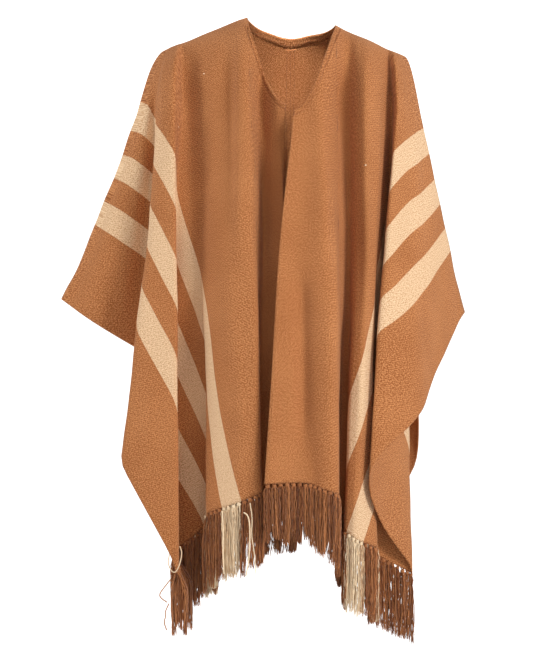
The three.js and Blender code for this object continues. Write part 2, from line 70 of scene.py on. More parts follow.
# A fold line to a row: name, place in the cloth at the shoulder, then x, y and the place in the cloth
# at four levels down the garment, its hem height and how softly the cloth turns there (millimetres).
FRONT_RIGHT = [
    ["edge", 0, [-7, -9, -5, -7], [-112, -112, -112, -110], [0, 0, 0, 0], -814, 0.3],
    ["tuck", 15, [-21, -5, 16, 24], [-108, -128, -142, -145], [18, 60, 78, 95], -816, 0.3],
    ["hollow", 40, [-44, -47, -56, -58], [-88, -100, -100, -95], [45, 125, 155, 190], -818, 0.3],
    ["ridge", 85, [-73, -60, -51, -44], [-124, -150, -170, -172], [92, 192, 240, 297], -817, 0.26],
    ["slope", 115, [-101, -107, -100, -93], [-100, -138, -158, -160], [140, 240, 285, 352], -838, 0.4],
    ["swell", 140, [-128, -135, -128, -121], [-98, -122, -142, -146], [180, 278, 327, 388], -847, 0.4],
    ["fall", 160, [-150, -150, -147, -146], [-84, -105, -120, -127], [215, 305, 375, 425], -859, 0.24],
    ["under", 170, [-161, -158, -138, -128], [-74, -98, -95, -65], [228, 312, 398, 519], -873, 0.34],
    ["recess", 182, [-173, -170, -166, -161], [-68, -88, -78, -72], [245, 328, 437, 566], -896, 0.4],
    ["inner", 194, [-189, -205, -212, -208], [-68, -72, -68, -66], [268, 370, 488, 602], -934, 0.24],
    ["front", 204, [-203, -198, -190, -188], [-100, -110, -134, -142], [290, 409, 534, 655], -952, 0.2],
    ["wing fold", 213, [-234, -250, -285, -320], [-68, -97, -132, -142], [312, 466, 622, 778], -1012, 0.2],
    ["wing back", 219, [-238, -215, -210, -212], [-48, -38, -25, -10], [318, 516, 721, 925], -1030, 0.3],
    ["wing", 224, [-253, -314, -380, -444], [-30, -42, -48, -52], [336, 574, 800, 1026], -1030, 0.4],
    ["arm", 228, [-273, -362, -489, -606], [0, -5, -10, -15], [341, 600, 858, 1116], -1030, 0.3],
]
FRONT_LEFT = [
    ["edge", 0, [10, -16, -31, -47], [-122, -160, -188, -192], [0, 0, 0, 0], -801, 0.3],
    ["lie", 18, [30, 23, 28, 35], [-122, -150, -168, -165], [20, 38, 64, 88], -799, 0.4],
    ["swell", 45, [54, 65, 67, 68], [-126, -162, -188, -192], [48, 88, 112, 138], -813, 0.4],
    ["ridge", 70, [75, 81, 83, 84], [-108, -150, -176, -180], [72, 104, 135, 160], -819, 0.24],
    ["valley", 88, [98, 98, 88, 82], [-80, -82, -104, -96], [115, 170, 235, 290], -850, 0.36],
    ["channel", 102, [109, 110, 107, 108], [-78, -74, -94, -88], [138, 210, 285, 365], -868, 0.36],
    ["rise", 115, [119, 116, 104, 95], [-98, -102, -138, -132], [155, 235, 318, 405], -886, 0.3],
    ["crest", 135, [138, 136, 127, 118], [-112, -124, -152, -142], [188, 275, 343, 436], -901, 0.4],
    ["fall", 155, [161, 154, 147, 156], [-86, -105, -118, -98], [218, 297, 368, 480], -921, 0.2],
    ["turn", 163, [166, 158, 148, 142], [-76, -84, -74, -56], [228, 318, 415, 552], -930, 0.3],
    ["deep", 175, [184, 184, 218, 226], [-44, -10, 0, -15], [252, 360, 470, 632], -978, 0.18],
    ["sleeve", 186, [191, 165, 138, 123], [-80, -108, -148, -152], [276, 438, 615, 736], -1012, 0.2],
    ["hang", 194, [208, 215, 223, 226], [-60, -82, -105, -110], [284, 482, 650, 830], -1030, 0.4],
    ["outer", 200, [222, 249, 257, 276], [-35, -40, -45, -40], [295, 504, 705, 906], -1030, 0.4],
    ["arm", 207, [239, 293, 359, 426], [0, 25, 80, 120], [302, 552, 862, 1140], -1030, 0.3],
]
BACK_RIGHT = [
    ["seam", 0, [5, 5, 5, 5], [108, 118, 122, 125], [0, 0, 0, 0], -800, 0.3],
    ["swell", 35, [-34, -32, -28, -26], [113, 139, 166, 178], [38, 52, 62, 70], -802, 0.32],
    ["dip", 70, [-72, -64, -54, -50], [103, 102, 89, 82], [75, 105, 125, 140], -806, 0.32],
    ["ridge", 100, [-105, -105, -100, -100], [113, 156, 194, 210], [112, 165, 205, 235], -815, 0.32],
    ["hollow", 135, [-138, -136, -132, -134], [99, 92, 77, 66], [150, 218, 282, 330], -832, 0.32],
    ["crest", 165, [-168, -175, -182, -190], [99, 141, 184, 200], [190, 280, 370, 430], -848, 0.3],
    ["under", 190, [-190, -186, -176, -168], [77, 47, 20, 12], [225, 345, 465, 560], -864, 0.32],
    ["front", 205, [-214, -214, -218, -222], [75, 109, 152, 166], [262, 420, 560, 690], -892, 0.24],
    ["wing fold", 213, [-234, -252, -278, -304], [58, 88, 110, 120], [285, 470, 640, 800], -940, 0.24],
    ["wing back", 219, [-242, -244, -254, -266], [40, 44, 48, 50], [298, 530, 750, 960], -1010, 0.3],
    ["wing", 224, [-256, -314, -386, -456], [28, 42, 45, 45], [325, 572, 810, 1050], -1010, 0.32],
    ["arm", 228, [-273, -362, -489, -606], [0, -5, -10, -15], [341, 600, 858, 1116], -1010, 0.3],
]
BACK_LEFT = [
    ["seam", 0, [5, 5, 5, 5], [108, 118, 122, 125], [0, 0, 0, 0], -800, 0.3],
    ["swell", 35, [42, 40, 36, 34], [113, 136, 160, 169], [38, 52, 62, 70], -802, 0.32],
    ["dip", 70, [78, 70, 62, 58], [103, 103, 94, 88], [75, 105, 125, 140], -806, 0.32],
    ["ridge", 100, [108, 106, 102, 100], [113, 153, 188, 202], [112, 165, 205, 235], -815, 0.32],
    ["hollow", 130, [135, 132, 126, 124], [97, 92, 80, 70], [150, 218, 282, 330], -832, 0.32],
    ["crest", 155, [160, 162, 166, 170], [97, 144, 185, 202], [190, 280, 370, 430], -848, 0.3],
    ["under", 175, [180, 172, 158, 144], [79, 54, 26, 18], [222, 345, 465, 560], -864, 0.32],
    ["front", 186, [196, 193, 194, 197], [74, 116, 160, 172], [248, 415, 560, 690], -884, 0.24],
    ["wing fold", 194, [212, 230, 244, 248], [60, 112, 146, 157], [272, 455, 600, 755], -940, 0.24],
    ["outer", 200, [224, 232, 242, 248], [42, 62, 90, 110], [284, 500, 720, 930], -1010, 0.3],
    ["wing", 204, [232, 266, 312, 350], [22, 50, 92, 130], [293, 530, 800, 1050], -1010, 0.32],
    ["arm", 207, [239, 293, 359, 426], [0, 25, 80, 120], [302, 552, 862, 1140], -1010, 0.3],
]


def level_curve(values, w):
    """Smooth curve through the four level values of every fold line; straight on below the last."""
    i = np.clip(np.floor(w).astype(int), 0, 2)
    f = w - i
    p1, p2 = values[:, i], values[:, i + 1]
    m1 = np.where(i > 0, (p2 - values[:, np.maximum(i - 1, 0)]) / 2, p2 - p1)
    m2 = np.where(i < 2, (values[:, np.minimum(i + 2, 3)] - p1) / 2, p2 - p1)
    f2, f3 = f * f, f * f * f
    inner = (2 * f3 - 3 * f2 + 1) * p1 + (f3 - 2 * f2 + f) * m1 + (3 * f2 - 2 * f3) * p2 + (f3 - f2) * m2
    return np.where(f > 1, p2 + m2 * (f - 1), inner)


class Quarter:
    """A quarter of the cloth as a surface over (a, w): a counts fold lines, w runs from -1 at the
    shoulder through 0 to 3 at the levels."""

    def __init__(self, rows, side, is_back):
        self.side, self.is_back = side, is_back
        self.last = len(rows) - 1
        self.top = np.array([r[1] for r in rows], float)
        self.levels = [np.array([r[c] for r in rows], float) for c in (2, 3, 4)]
        self.hem = np.array([(LEVEL_TOP - r[5]) / LEVEL_STEP for r in rows])
        self.soft = np.array([r[6] for r in rows])
        s = SHOULDERS[side]
        near, far = self.top / NECK_POINT, (self.top - NECK_POINT) / (self.top[-1] - NECK_POINT)
        (cx, cz), (nx, nz), (tx, tz) = s["crown"], s["neck"], s["tip"]
        inside = self.top < NECK_POINT
        self.top_x = np.where(inside, cx + (nx - cx) * near, nx + (tx - nx) * far)
        self.top_z = np.where(inside, cz + (nz - cz) * near * near, nz + (tz - nz) * far)
        self.corner = self.find_corner()

    def shares(self, a):
        """How much of each fold line makes up the surface at a: (len(a), rows)."""
        a = np.atleast_1d(np.asarray(a, float))
        out = np.zeros((len(a), self.last + 1))
        k = np.clip(np.round(a).astype(int), 0, self.last)
        f, soft = a - k, self.soft[k]
        flat = (k == 0) | (k == self.last) | (np.abs(f) >= soft)
        i = np.clip(np.floor(a).astype(int), 0, self.last - 1)
        n = np.arange(len(a))
        out[n[flat], i[flat]] += (1 - (a - i))[flat]
        out[n[flat], i[flat] + 1] += (a - i)[flat]
        bend = ~flat
        t = (f + soft) / (2 * soft)
        before, after = (1 - t) ** 2 * soft, t * t * soft
        out[n[bend], k[bend] - 1] += before[bend]
        out[n[bend], k[bend]] += (1 - before - after)[bend]
        out[n[bend], k[bend] + 1] += after[bend]
        return out

    def lines(self, w):
        """x, y, z and cloth place of every fold line at heights w: (rows, len(w), 4)."""
        x, y, u = (level_curve(v, w) for v in self.levels)
        x0, y0, u0 = (v[:, :1] for v in self.levels)
        t = np.clip(w + 1, 0, 1)
        above = w < 0
        top_x, top_z, top = self.top_x[:, None], self.top_z[:, None], self.top[:, None]
        z_top = top_z + (LEVEL_TOP - top_z) * (1 - np.cos(t * np.pi / 2))
        return np.stack([
            np.where(above, top_x + (x0 - top_x) * t, x),
            np.where(above, y0 * np.sin(t * np.pi / 2), y),
            np.where(above, z_top, np.broadcast_to(LEVEL_TOP - LEVEL_STEP * w, x.shape)),
            np.where(above, top + (u0 - top) * t, u),
        ], -1)

    def at(self, a, w):
        """Points for pairs of a and w."""
        a, w = np.broadcast_arrays(np.atleast_1d(a).astype(float), np.atleast_1d(w).astype(float))
        share = self.shares(a.ravel())
        return np.einsum("nk,knc->nc", share, self.lines(w.ravel())).reshape(a.shape + (4,))

    def value(self, a, column):
        """A value of the fold lines, such as their hem heights, at a."""
        return self.shares(a) @ column

    def by_top(self, top):
        """The a whose section starts at this place along the shoulder line."""
        grid = np.linspace(0, self.last, 2001)
        return float(np.interp(top, self.value(grid, self.top), grid))

    def first(self, test, lo, hi):
        """Bisects for the w where test turns true, one for each entry."""
        lo, hi = np.array(lo, float), np.array(hi, float)
        for _ in range(34):
            mid = (lo + hi) / 2
            yes = test(mid)
            hi, lo = np.where(yes, mid, hi), np.where(yes, lo, mid)
        return (lo + hi) / 2

    def start(self, a, turn=0.0):
        """Where each section leaves the shoulder line or the neck edge, widened by turn."""
        a = np.atleast_1d(a)
        s = self.value(a, self.top) / (NECK_HALF + turn)
        inner = np.minimum(s, 1)
        top, foot = np.full(len(a), SHOULDER_LEVEL), np.full(len(a), LOWEST_NECK)
        if self.is_back:
            cut = (NECK_BACK + turn) * np.sqrt(1 - inner**2)
            found = self.first(lambda w: self.at(a, w)[:, 1] >= cut, top, foot)
        else:
            cut = -(SHOULDERS[self.side]["neck_depth"] + turn) * (1 - inner**NECK_ROUNDNESS)
            found = self.first(lambda w: self.at(a, w)[:, 2] <= cut, top, foot)
        return np.where(s >= 0.9999, SHOULDER_LEVEL, found)

    def end(self, a):
        """Where each section ends: the hem, or the outer selvedge if that comes first."""
        a = np.atleast_1d(a)
        hem = self.value(a, self.hem)
        over = self.at(a, hem)[:, 3] > LOOM_WIDTH
        cut = self.first(lambda w: self.at(a, w)[:, 3] >= LOOM_WIDTH, np.zeros(len(a)), hem)
        return np.where(over, cut, hem)

    def find_corner(self):
        """Where the outer selvedge meets the hem."""
        grid = np.linspace(1, self.last, 4001)
        place = self.at(grid, self.value(grid, self.hem))[:, 3]
        return float(grid[np.argmax(place >= LOOM_WIDTH)])


quarters = {
    "front_right": Quarter(FRONT_RIGHT, "right", False),
    "front_left": Quarter(FRONT_LEFT, "left", False),
    "back_right": Quarter(BACK_RIGHT, "right", True),
    "back_left": Quarter(BACK_LEFT, "left", True),
}


def soft_noise(p, size, seed):
    """Slow uneven waves over points p, about size millimetres across, from -1 to 1."""
    rng = np.random.default_rng(seed)
    total = np.zeros(len(p))
    for _ in range(7):
        direction = rng.normal(size=3) * (1, 1, 0.35)
        direction *= 2 * np.pi / (size * rng.uniform(0.7, 1.5)) / np.linalg.norm(direction)
        total += np.sin(p @ direction + rng.uniform(0, 6.28))
    return total / 3.2


# Rows and columns of the fine cloth: closer rows just below the neck edge carry its rolled hem.
FRONT_STEP, BACK_STEP = 0.095, 0.12
NECK_ROWS = np.linspace(0, 0.032, 23)
LOWER_ROWS = np.linspace(0.032, 1, 152)
BESIDE_NECK = (0.1, 0.7, 1.6, 3.0)


class Sheet:
    """Middle surface of a panel: points, faces, cloth places and the rows that pieces on it follow."""

    def __init__(self, front, back, is_right):
        self.points, self.place, self.faces, self.count = [], [], [], 0
        # A column of points for each section: some at fixed places, the others evenly between them.
        grids = {}
        for quarter, step in ((front, FRONT_STEP), (back, BACK_STEP)):
            fixed = [0, quarter.last, quarter.corner, quarter.by_top(NECK_HALF)]
            beside = [quarter.by_top(NECK_HALF - d) for d in BESIDE_NECK]
            even = np.linspace(0, quarter.last, int(quarter.last / step) + 1)
            even = even[[min(abs(e - f) for f in fixed + beside) > step * 0.35 for e in even]]
            at = np.sort(np.concatenate([fixed, beside, even]))
            start, end = quarter.start(at), quarter.end(at)
            t = np.concatenate([NECK_ROWS[:-1], LOWER_ROWS])
            rows = len(t) - 1
            w = start[:, None] + (end - start)[:, None] * t[None, :]
            grid = quarter.at(np.repeat(at[:, None], rows + 1, 1), w)
            length = self.warp(quarter, at, w)
            grids[quarter] = (at, grid, length)
        # The front's points first, then the back's, which shares the outer column and the neck point.
        at, grid, length = grids[front]
        ids = self.add(grid, length)
        self.quads(ids, not is_right)
        neck = int(np.argmin(abs(at - front.by_top(NECK_HALF))))
        self.front_ids, self.front_at = ids, at
        b_at, b_grid, b_length = grids[back]
        b_ids = self.add(b_grid, -b_length)
        b_neck = int(np.argmin(abs(b_at - back.by_top(NECK_HALF))))
        b_ids[-1] = ids[-1]
        b_ids[b_neck, 0] = ids[neck, 0]
        self.quads(b_ids, is_right, first=lambda i: 1 if i >= b_neck else 0)
        self.back_ids, self.back_at = b_ids, b_at
        # Over the shoulder the two sets of columns don't match, so triangles join them.
        upper = list(zip(ids[neck:, 0], front.value(at[neck:], front.top)))
        lower = list(zip(b_ids[b_neck:, 1], back.value(b_at[b_neck:], back.top)))
        i = j = 0
        while i + 1 < len(upper) or j + 1 < len(lower):
            ahead = i + 1 < len(upper) and (
                j + 1 >= len(lower) or upper[i + 1][1] - lower[j][1] < lower[j + 1][1] - upper[i][1])
            if ahead:
                tri = [upper[i][0], upper[i + 1][0], lower[j][0]]
                i += 1
            else:
                tri = [upper[i][0], lower[j + 1][0], lower[j][0]]
                j += 1
            self.faces.append(tri[::-1] if is_right else tri)
        self.points = np.concatenate(self.points)
        self.place = np.concatenate(self.place)
        is_behind = self.points[:, 1] > 30
        on_seam = (abs(self.points[:, 0] - SEAM_X) < 2 * SEAM_GAP) & is_behind
        self.points[on_seam, 0] = SEAM_X + (-SEAM_GAP if is_right else SEAM_GAP)
        self.seam = on_seam
        self.tidy()
        self.normals = self.find_normals()

    def warp(self, quarter, at, w):
        """Length along the cloth from the shoulder line, from the drape's own stretch down a section."""
        fine = np.linspace(SHOULDER_LEVEL, 3.6, 300)
        out = np.zeros_like(w)
        path = quarter.at(np.repeat(at[:, None], len(fine), 1), np.repeat(fine[None, :], len(at), 0))
        step = np.diff(path, axis=1)
        run = np.sqrt(np.maximum((step[..., :3] ** 2).sum(-1) - step[..., 3] ** 2, 0.04))
        total = np.concatenate([np.zeros((len(at), 1)), np.cumsum(run, 1)], 1)
        for n in range(len(at)):
            out[n] = np.interp(w[n], fine, total[n])
        return out

    def add(self, grid, length):
        """Takes a grid's points and places in; gives the number of each point."""
        flat = grid.reshape(-1, 4)
        self.points.append(flat[:, :3])
        self.place.append(np.stack([flat[:, 3], length.ravel()], -1))
        ids = self.count + np.arange(len(flat)).reshape(grid.shape[:2])
        self.count += len(flat)
        return ids

    def quads(self, ids, flip, first=lambda i: 0):
        """Four-sided faces between neighbouring columns, from row first(i) down."""
        for i in range(len(ids) - 1):
            j = np.arange(first(i), ids.shape[1] - 1)
            quad = np.stack([ids[i, j], ids[i + 1, j], ids[i + 1, j + 1], ids[i, j + 1]], -1)
            self.faces.extend((quad[:, ::-1] if flip else quad).tolist())

    def tidy(self):
        """Drops points that no face uses."""
        used = np.zeros(len(self.points), bool)
        for face in self.faces:
            used[face] = True
        new = np.cumsum(used) - 1
        self.faces = [[int(new[v]) for v in face] for face in self.faces]
        self.points, self.place, self.seam = self.points[used], self.place[used], self.seam[used]
        self.front_ids, self.back_ids = new[self.front_ids], new[self.back_ids]

    def find_normals(self):
        """Outward directions at the points; level with the seam where the panels meet."""
        quad = np.array([f + [f[2]] if len(f) == 3 else f for f in self.faces])
        p = self.points[quad]
        n = np.cross(p[:, 2] - p[:, 0], p[:, 3] - p[:, 1])
        three = np.array([len(f) == 3 for f in self.faces])
        n[three] = np.cross(p[three, 1] - p[three, 0], p[three, 2] - p[three, 0])
        out = np.zeros_like(self.points)
        for c in range(4):
            np.add.at(out, quad[:, c], n)
        out[self.seam, 0] = 0
        return out / np.maximum(np.linalg.norm(out, axis=1, keepdims=True), 1e-9)


def write_places(mesh, place):
    """Stores each corner's place in the cloth, in metres, as the mesh's cloth map."""
    layer = mesh.uv_layers.new(name="cloth")
    corners = np.empty(len(mesh.loops), int)
    mesh.loops.foreach_get("vertex_index", corners)
    layer.data.foreach_set("uv", (place / 1000)[corners].ravel())


def shown(name, mesh, material=None):
    """Puts a mesh in the scene as an object at the origin; a new surface is smooth and painted."""
    if material:
        mesh.polygons.foreach_set("use_smooth", [True] * len(mesh.polygons))
        mesh.materials.append(material)
    made = bpy.data.objects.new(name, mesh)
    bpy.context.scene.collection.objects.link(made)
    return made


def shell(name, points, normals, faces, place, outer, inner, material):
    """Closed cloth of even thickness from a middle surface; its open edges are closed too."""
    n = len(points)
    verts = np.concatenate([points + normals * outer, points + normals * inner])
    edges = {}
    for f in faces:
        for k in range(len(f)):
            edges[(f[k], f[(k + 1) % len(f)])] = True
    rim = [(a, b) for a, b in edges if (b, a) not in edges]
    polys = [list(f) for f in faces] + [[v + n for v in reversed(f)] for f in faces]
    polys += [[b, a, a + n, b + n] for a, b in rim]
    mesh = bpy.data.meshes.new(name)
    mesh.from_pydata((verts / 1000).tolist(), [], polys)
    write_places(mesh, np.concatenate([place, place]))
    return shown(name, mesh, material)


def node(tree, kind, **values):
    """A node with some of its settings filled in, and its inputs by number as in_0, in_1 and on."""
    made = tree.nodes.new(kind)
    for key, value in values.items():
        if key.startswith("in_"):
            made.inputs[int(key[3:])].default_value = value
        else:
            setattr(made, key, value)
    return made


def maths(tree, operation, a, b=None, c=None, clamp=False):
    """A maths node whose inputs are sockets or plain numbers; gives its output socket."""
    made = tree.nodes.new("ShaderNodeMath")
    made.operation, made.use_clamp = operation, clamp
    for slot_number, value in enumerate((a, b, c)):
        if value is None:
            continue
        if isinstance(value, (int, float)):
            made.inputs[slot_number].default_value = value
        else:
            tree.links.new(value, made.inputs[slot_number])
    return made.outputs[0]


def blend_colour(tree, factor, a, b):
    """Mixes two colours, each a socket or a tuple."""
    made = node(tree, "ShaderNodeMix", data_type="RGBA", blend_type="MIX")
    for slot_number, value in ((0, factor), (6, a), (7, b)):
        if isinstance(value, (tuple, float, int)):
            made.inputs[slot_number].default_value = value
        else:
            tree.links.new(value, made.inputs[slot_number])
    return made.outputs[2]


# Twill ribs run down to the right, one to every RIB_PITCH across; each weft pick shows as a short step.
RIB_PITCH = 4.2
PICK_PITCH = 1.9
RIB_SLOPE = 0.8
YARN_SCALE = 430.0
PATCH_SCALE = 9.0
BROWN_DEEP = (0.3, 0.09, 0.024, 1)
BROWN_LIGHT = (0.68, 0.29, 0.11, 1)
CREAM = (0.93, 0.66, 0.41, 1)
CREAM_DEEP = (0.55, 0.29, 0.14, 1)


def surface(name, **finish):
    """A new material, its node tree and its surface inputs, some of them filled in by name."""
    made = bpy.data.materials.new(name)
    made.use_nodes = True
    look = made.node_tree.nodes["Principled BSDF"].inputs
    for key, value in finish.items():
        look[key.replace("_", " ")].default_value = value
    return made, made.node_tree, look


def twill_material(name, striped):
    """Wool twill: fine diagonal ribs, mottled yarns, a soft brushed nap and, if striped, cream warps."""
    twill, tree, look = surface(name, Roughness=0.92, Specular_IOR_Level=0.15, Sheen_Weight=0.18,
                                Sheen_Roughness=0.5, Sheen_Tint=(0.95, 0.7, 0.5, 1))
    place = node(tree, "ShaderNodeUVMap", uv_map="cloth")
    split = node(tree, "ShaderNodeSeparateXYZ")
    tree.links.new(place.outputs[0], split.inputs[0])
    u = maths(tree, "MULTIPLY", split.outputs[0], 1000.0)
    v = maths(tree, "MULTIPLY", split.outputs[1], 1000.0)
    yarn = node(tree, "ShaderNodeTexNoise", in_2=YARN_SCALE, in_3=2.5, in_4=0.65)
    tree.links.new(place.outputs[0], yarn.inputs[0])
    patch = node(tree, "ShaderNodeTexNoise", in_2=PATCH_SCALE, in_3=3.0, in_4=0.5)
    tree.links.new(place.outputs[0], patch.inputs[0])
    diagonal = maths(tree, "MULTIPLY_ADD", v, RIB_SLOPE, u)
    uneven = maths(tree, "MULTIPLY_ADD", yarn.outputs[0], 2.4, diagonal)
    rib = maths(tree, "SINE", maths(tree, "MULTIPLY", uneven, 2 * math.pi / RIB_PITCH))
    pick = maths(tree, "SINE", maths(tree, "MULTIPLY", v, 2 * math.pi / PICK_PITCH))
    grain = maths(tree, "SUBTRACT", yarn.outputs[0], 0.5)
    height = maths(tree, "ADD", maths(tree, "MULTIPLY", rib, 0.45), maths(tree, "MULTIPLY", pick, 0.1))
    height = maths(tree, "MULTIPLY_ADD", grain, 11.0, height)
    ribbed = maths(tree, "MULTIPLY_ADD", height, 0.42, 0.42, clamp=True)
    patchy = maths(tree, "SUBTRACT", patch.outputs[0], 0.5)
    mottled = maths(tree, "MULTIPLY_ADD", patchy, 0.55, ribbed, clamp=True)
    brown = blend_colour(tree, mottled, BROWN_DEEP, BROWN_LIGHT)
    colour = brown
    if striped:
        jag = maths(tree, "MULTIPLY", pick, 0.45)
        edge = maths(tree, "ADD", maths(tree, "ADD", u, jag), maths(tree, "MULTIPLY", grain, 1.2))
        inside = None
        for low, high in STRIPES:
            after, before = maths(tree, "GREATER_THAN", edge, low), maths(tree, "LESS_THAN", edge, high)
            band = maths(tree, "MULTIPLY", after, before)
            inside = band if inside is None else maths(tree, "ADD", inside, band)
        pale = maths(tree, "MULTIPLY_ADD", height, 0.42, 0.62, clamp=True)
        cream = blend_colour(tree, pale, CREAM_DEEP, CREAM)
        colour = blend_colour(tree, inside, brown, cream)
    tree.links.new(colour, look["Base Color"])
    bump = node(tree, "ShaderNodeBump")
    bump.inputs["Strength"].default_value = 0.5
    bump.inputs["Distance"].default_value = 0.0005
    tree.links.new(height, bump.inputs["Height"])
    tree.links.new(bump.outputs[0], look["Normal"])
    return twill


striped_twill = twill_material("striped wool twill", True)


# The centre edges lie calm: the wear grows from nothing over this width of cloth beside them.
CALM_EDGE = 25


def wear(p, u, seed):
    """Height of the small uneven troughs and ridges of worn cloth, long down the garment."""
    low = np.clip((-p[:, 2] - 60) / 260, 0, 1)
    wave = soft_noise(p * (1, 1, 0.16), 95, seed) * 2.6 * low
    wave += soft_noise(p * (1, 1, 0.3), 42, seed + 1) * 0.7 * low
    wave += soft_noise(p, 60, seed + 2) * 0.5
    return wave * np.clip(u / CALM_EDGE, 0, 1)


# The larger creases: the face it is on, the line it runs along as x and z, half its width and how far
# it stands out. Each fades in over CREASE_HEAD at its top and out over CREASE_FOOT at its lower end.
CREASES = [
    ("front", [(-190, -50), (-184, -120), (-172, -243), (-166, -313), (-158, -382), (-141, -452),
               (-134, -540)], 26, -13.0),
    ("front", [(-134, -70), (-132, -160), (-128, -300), (-124, -420)], 34, -6.0),
    ("front", [(-99, -30), (-99, -150), (-96, -380)], 9, -4.5),
    ("front_right", [(-90, 0), (-89, -120), (-87, -260), (-84, -460)], 12, 7.0),
    ("front_right", [(-56, -40), (-54, -110), (-49, -200), (-48, -330), (-48, -500)], 18, -17.0),
    ("front_right", [(-14, -150), (-14, -210), (-16, -300), (-20, -420)], 22, -16.0),
    ("front_left", [(46, -95), (52, -200), (58, -330), (60, -520)], 16, 5.0),
    ("front_left", [(86, -56), (87, -180), (87, -300), (84, -520)], 17, -14.0),
    ("front_left", [(132, -40), (130, -180), (126, -420)], 12, 6.0),
    ("front_left", [(172, -80), (172, -160), (168, -270)], 13, -7.0),
    ("front_left", [(22, -420), (23, -540), (24, -640), (24, -800)], 19, -12.0),
    ("front_left", [(66, -460), (67, -620), (66, -790)], 12, 4.0),
    ("front_left", [(4, -560), (3, -700), (2, -800)], 10, 3.0),
    ("front_right", [(-124, -480), (-112, -640), (-104, -800)], 18, -4.0),
    ("front_right", [(-92, -520), (-82, -680), (-76, -810)], 12, 3.0),
    ("front_right", [(-238, -80), (-242, -240), (-252, -311), (-258, -381), (-266, -451),
                     (-278, -560)], 13, -18.0),
    ("front_right", [(-246, -620), (-246, -720), (-240, -820)], 16, 2.5),
    ("front_left", [(268, -230), (286, -330), (300, -430)], 16, -3.0),
    ("back", [(-150, -60), (-146, -200), (-140, -380)], 22, -5.0),
    ("back", [(-88, -40), (-84, -180), (-78, -330)], 15, 3.5),
    ("back", [(-30, -70), (-32, -240), (-30, -420)], 17, -3.0),
    ("back", [(48, -60), (46, -210), (40, -400)], 15, 3.0),
    ("back", [(118, -60), (120, -190), (114, -360)], 20, -5.0),
    ("back", [(170, -80), (172, -220), (166, -380)], 14, 3.0),
    ("back", [(-60, -420), (-54, -600), (-48, -790)], 14, 2.5),
    ("back", [(70, -450), (64, -620), (62, -780)], 14, -3.0),
]
CREASE_HEAD = 70
CREASE_FOOT = 150
CREASE_SHARPNESS = 1.3
SIDE_DEPTH = 45


def crease_lift(p, is_back, side):
    """How far the larger creases stand out of the garment at points p."""
    total = np.zeros(len(p))
    face = "back" if is_back else "front"
    for where, line, half, lift in CREASES:
        if where not in (face, f"{face}_{side}"):
            continue
        x, z = np.array(line, float)[::-1].T
        middle = np.interp(p[:, 2], z, x)
        head = np.clip((z[-1] - p[:, 2]) / CREASE_HEAD, 0, 1)
        ends = head * np.clip((p[:, 2] - z[0]) / CREASE_FOOT, 0, 1)
        ends = ends * ends * (3 - 2 * ends)
        total += lift * ends * np.exp(-(((p[:, 0] - middle) / half) ** 2) * CREASE_SHARPNESS)
    return total * np.clip(np.abs(p[:, 1]) / SIDE_DEPTH, 0, 1)


SEEDS = {"right": 11, "left": 23}


def settle(p, n, u, is_back, side):
    """Points of the drape with its creases and its wear."""
    out = np.array((0, 1 if is_back else -1, 0))
    calm = np.clip(u / CALM_EDGE, 0, 1)[:, None] if is_back else 1
    creased = p + out * crease_lift(p, is_back, side)[:, None] * calm
    return creased + n * wear(p, u, SEEDS[side])[:, None]


# The turned neck edge stands up as a roll, with a pressed groove where it is stitched down.
ROLL_HEIGHT, ROLL_WIDTH = 1.6, 2.0
GROOVE_DEPTH, GROOVE_WIDTH, GROOVE_AWAY = 1.2, 1.6, 7.8
NECK_REGION = -190


def roll_neck(sheet, front, back):
    """Raises the roll and presses the groove along the sheet's neck edge."""
    front_neck = sheet.front_at <= front.by_top(NECK_HALF) + 1e-6
    back_neck = sheet.back_at <= back.by_top(NECK_HALF) + 1e-6
    rim = np.concatenate([sheet.front_ids[front_neck, 0], sheet.back_ids[back_neck, 0]])
    near = np.flatnonzero(sheet.points[:, 2] > NECK_REGION)
    reach = np.linalg.norm(sheet.points[near][:, None, :] - sheet.points[rim][None], axis=2).min(1)
    roll = ROLL_HEIGHT * np.exp(-((reach / ROLL_WIDTH) ** 2))
    roll -= GROOVE_DEPTH * np.exp(-(((reach - GROOVE_AWAY) / GROOVE_WIDTH) ** 2))
    sheet.points[near] += sheet.normals[near] * roll[:, None]
    sheet.normals = sheet.find_normals()


sheets = {}
for side in ("right", "left"):
    front, back = quarters[f"front_{side}"], quarters[f"back_{side}"]
    sheet = Sheet(front, back, side == "right")
    at_back = sheet.place[:, 1] < 0
    for is_back in (False, True):
        mine = at_back == is_back
        points, normals, places = sheet.points[mine], sheet.normals[mine], sheet.place[mine, 0]
        sheet.points[mine] = settle(points, normals, places, is_back, side)
    sheet.normals = sheet.find_normals()
    roll_neck(sheet, front, back)
    sheets[side] = sheet
    panel = shell(f"{side}_panel_cloth", sheet.points, sheet.normals, sheet.faces, sheet.place,
                  WALL / 2, -WALL / 2, striped_twill)
    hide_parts(f"{side}_panel")
    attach(panel, "root")
    sheet.panel = panel


# ---------------------------------------------------------------- the turned neck hem
# The raw neck edge is turned to the inside, a finger's breadth deep, and stitched down by hand.
# It is the panels' own twill; the fold stands up as a thin rolled edge and its inner edge is lumpy.
plain_twill = twill_material("plain wool twill", False)

HEM_SECTION = [
    (0.9, 1.22), (-0.5, 1.18), (-1.25, 0.55), (-1.45, -0.4), (-1.15, -1.5), (-0.2, -2.2), (1.6, -2.35),
    (4.6, -2.1), (7.4, -2.45), (8.8, -2.3), (9.4, -1.7), (9.3, -1.0), (4.6, -0.9), (0.9, -0.8),
]


# The hem follows the neck edge at these depths below it, in runs with this many stations a quarter.
HEM_DEPTHS = (0.0, NECK_TURN / 2, NECK_TURN)
FRONT_STATIONS, BACK_STATIONS = 64, 44


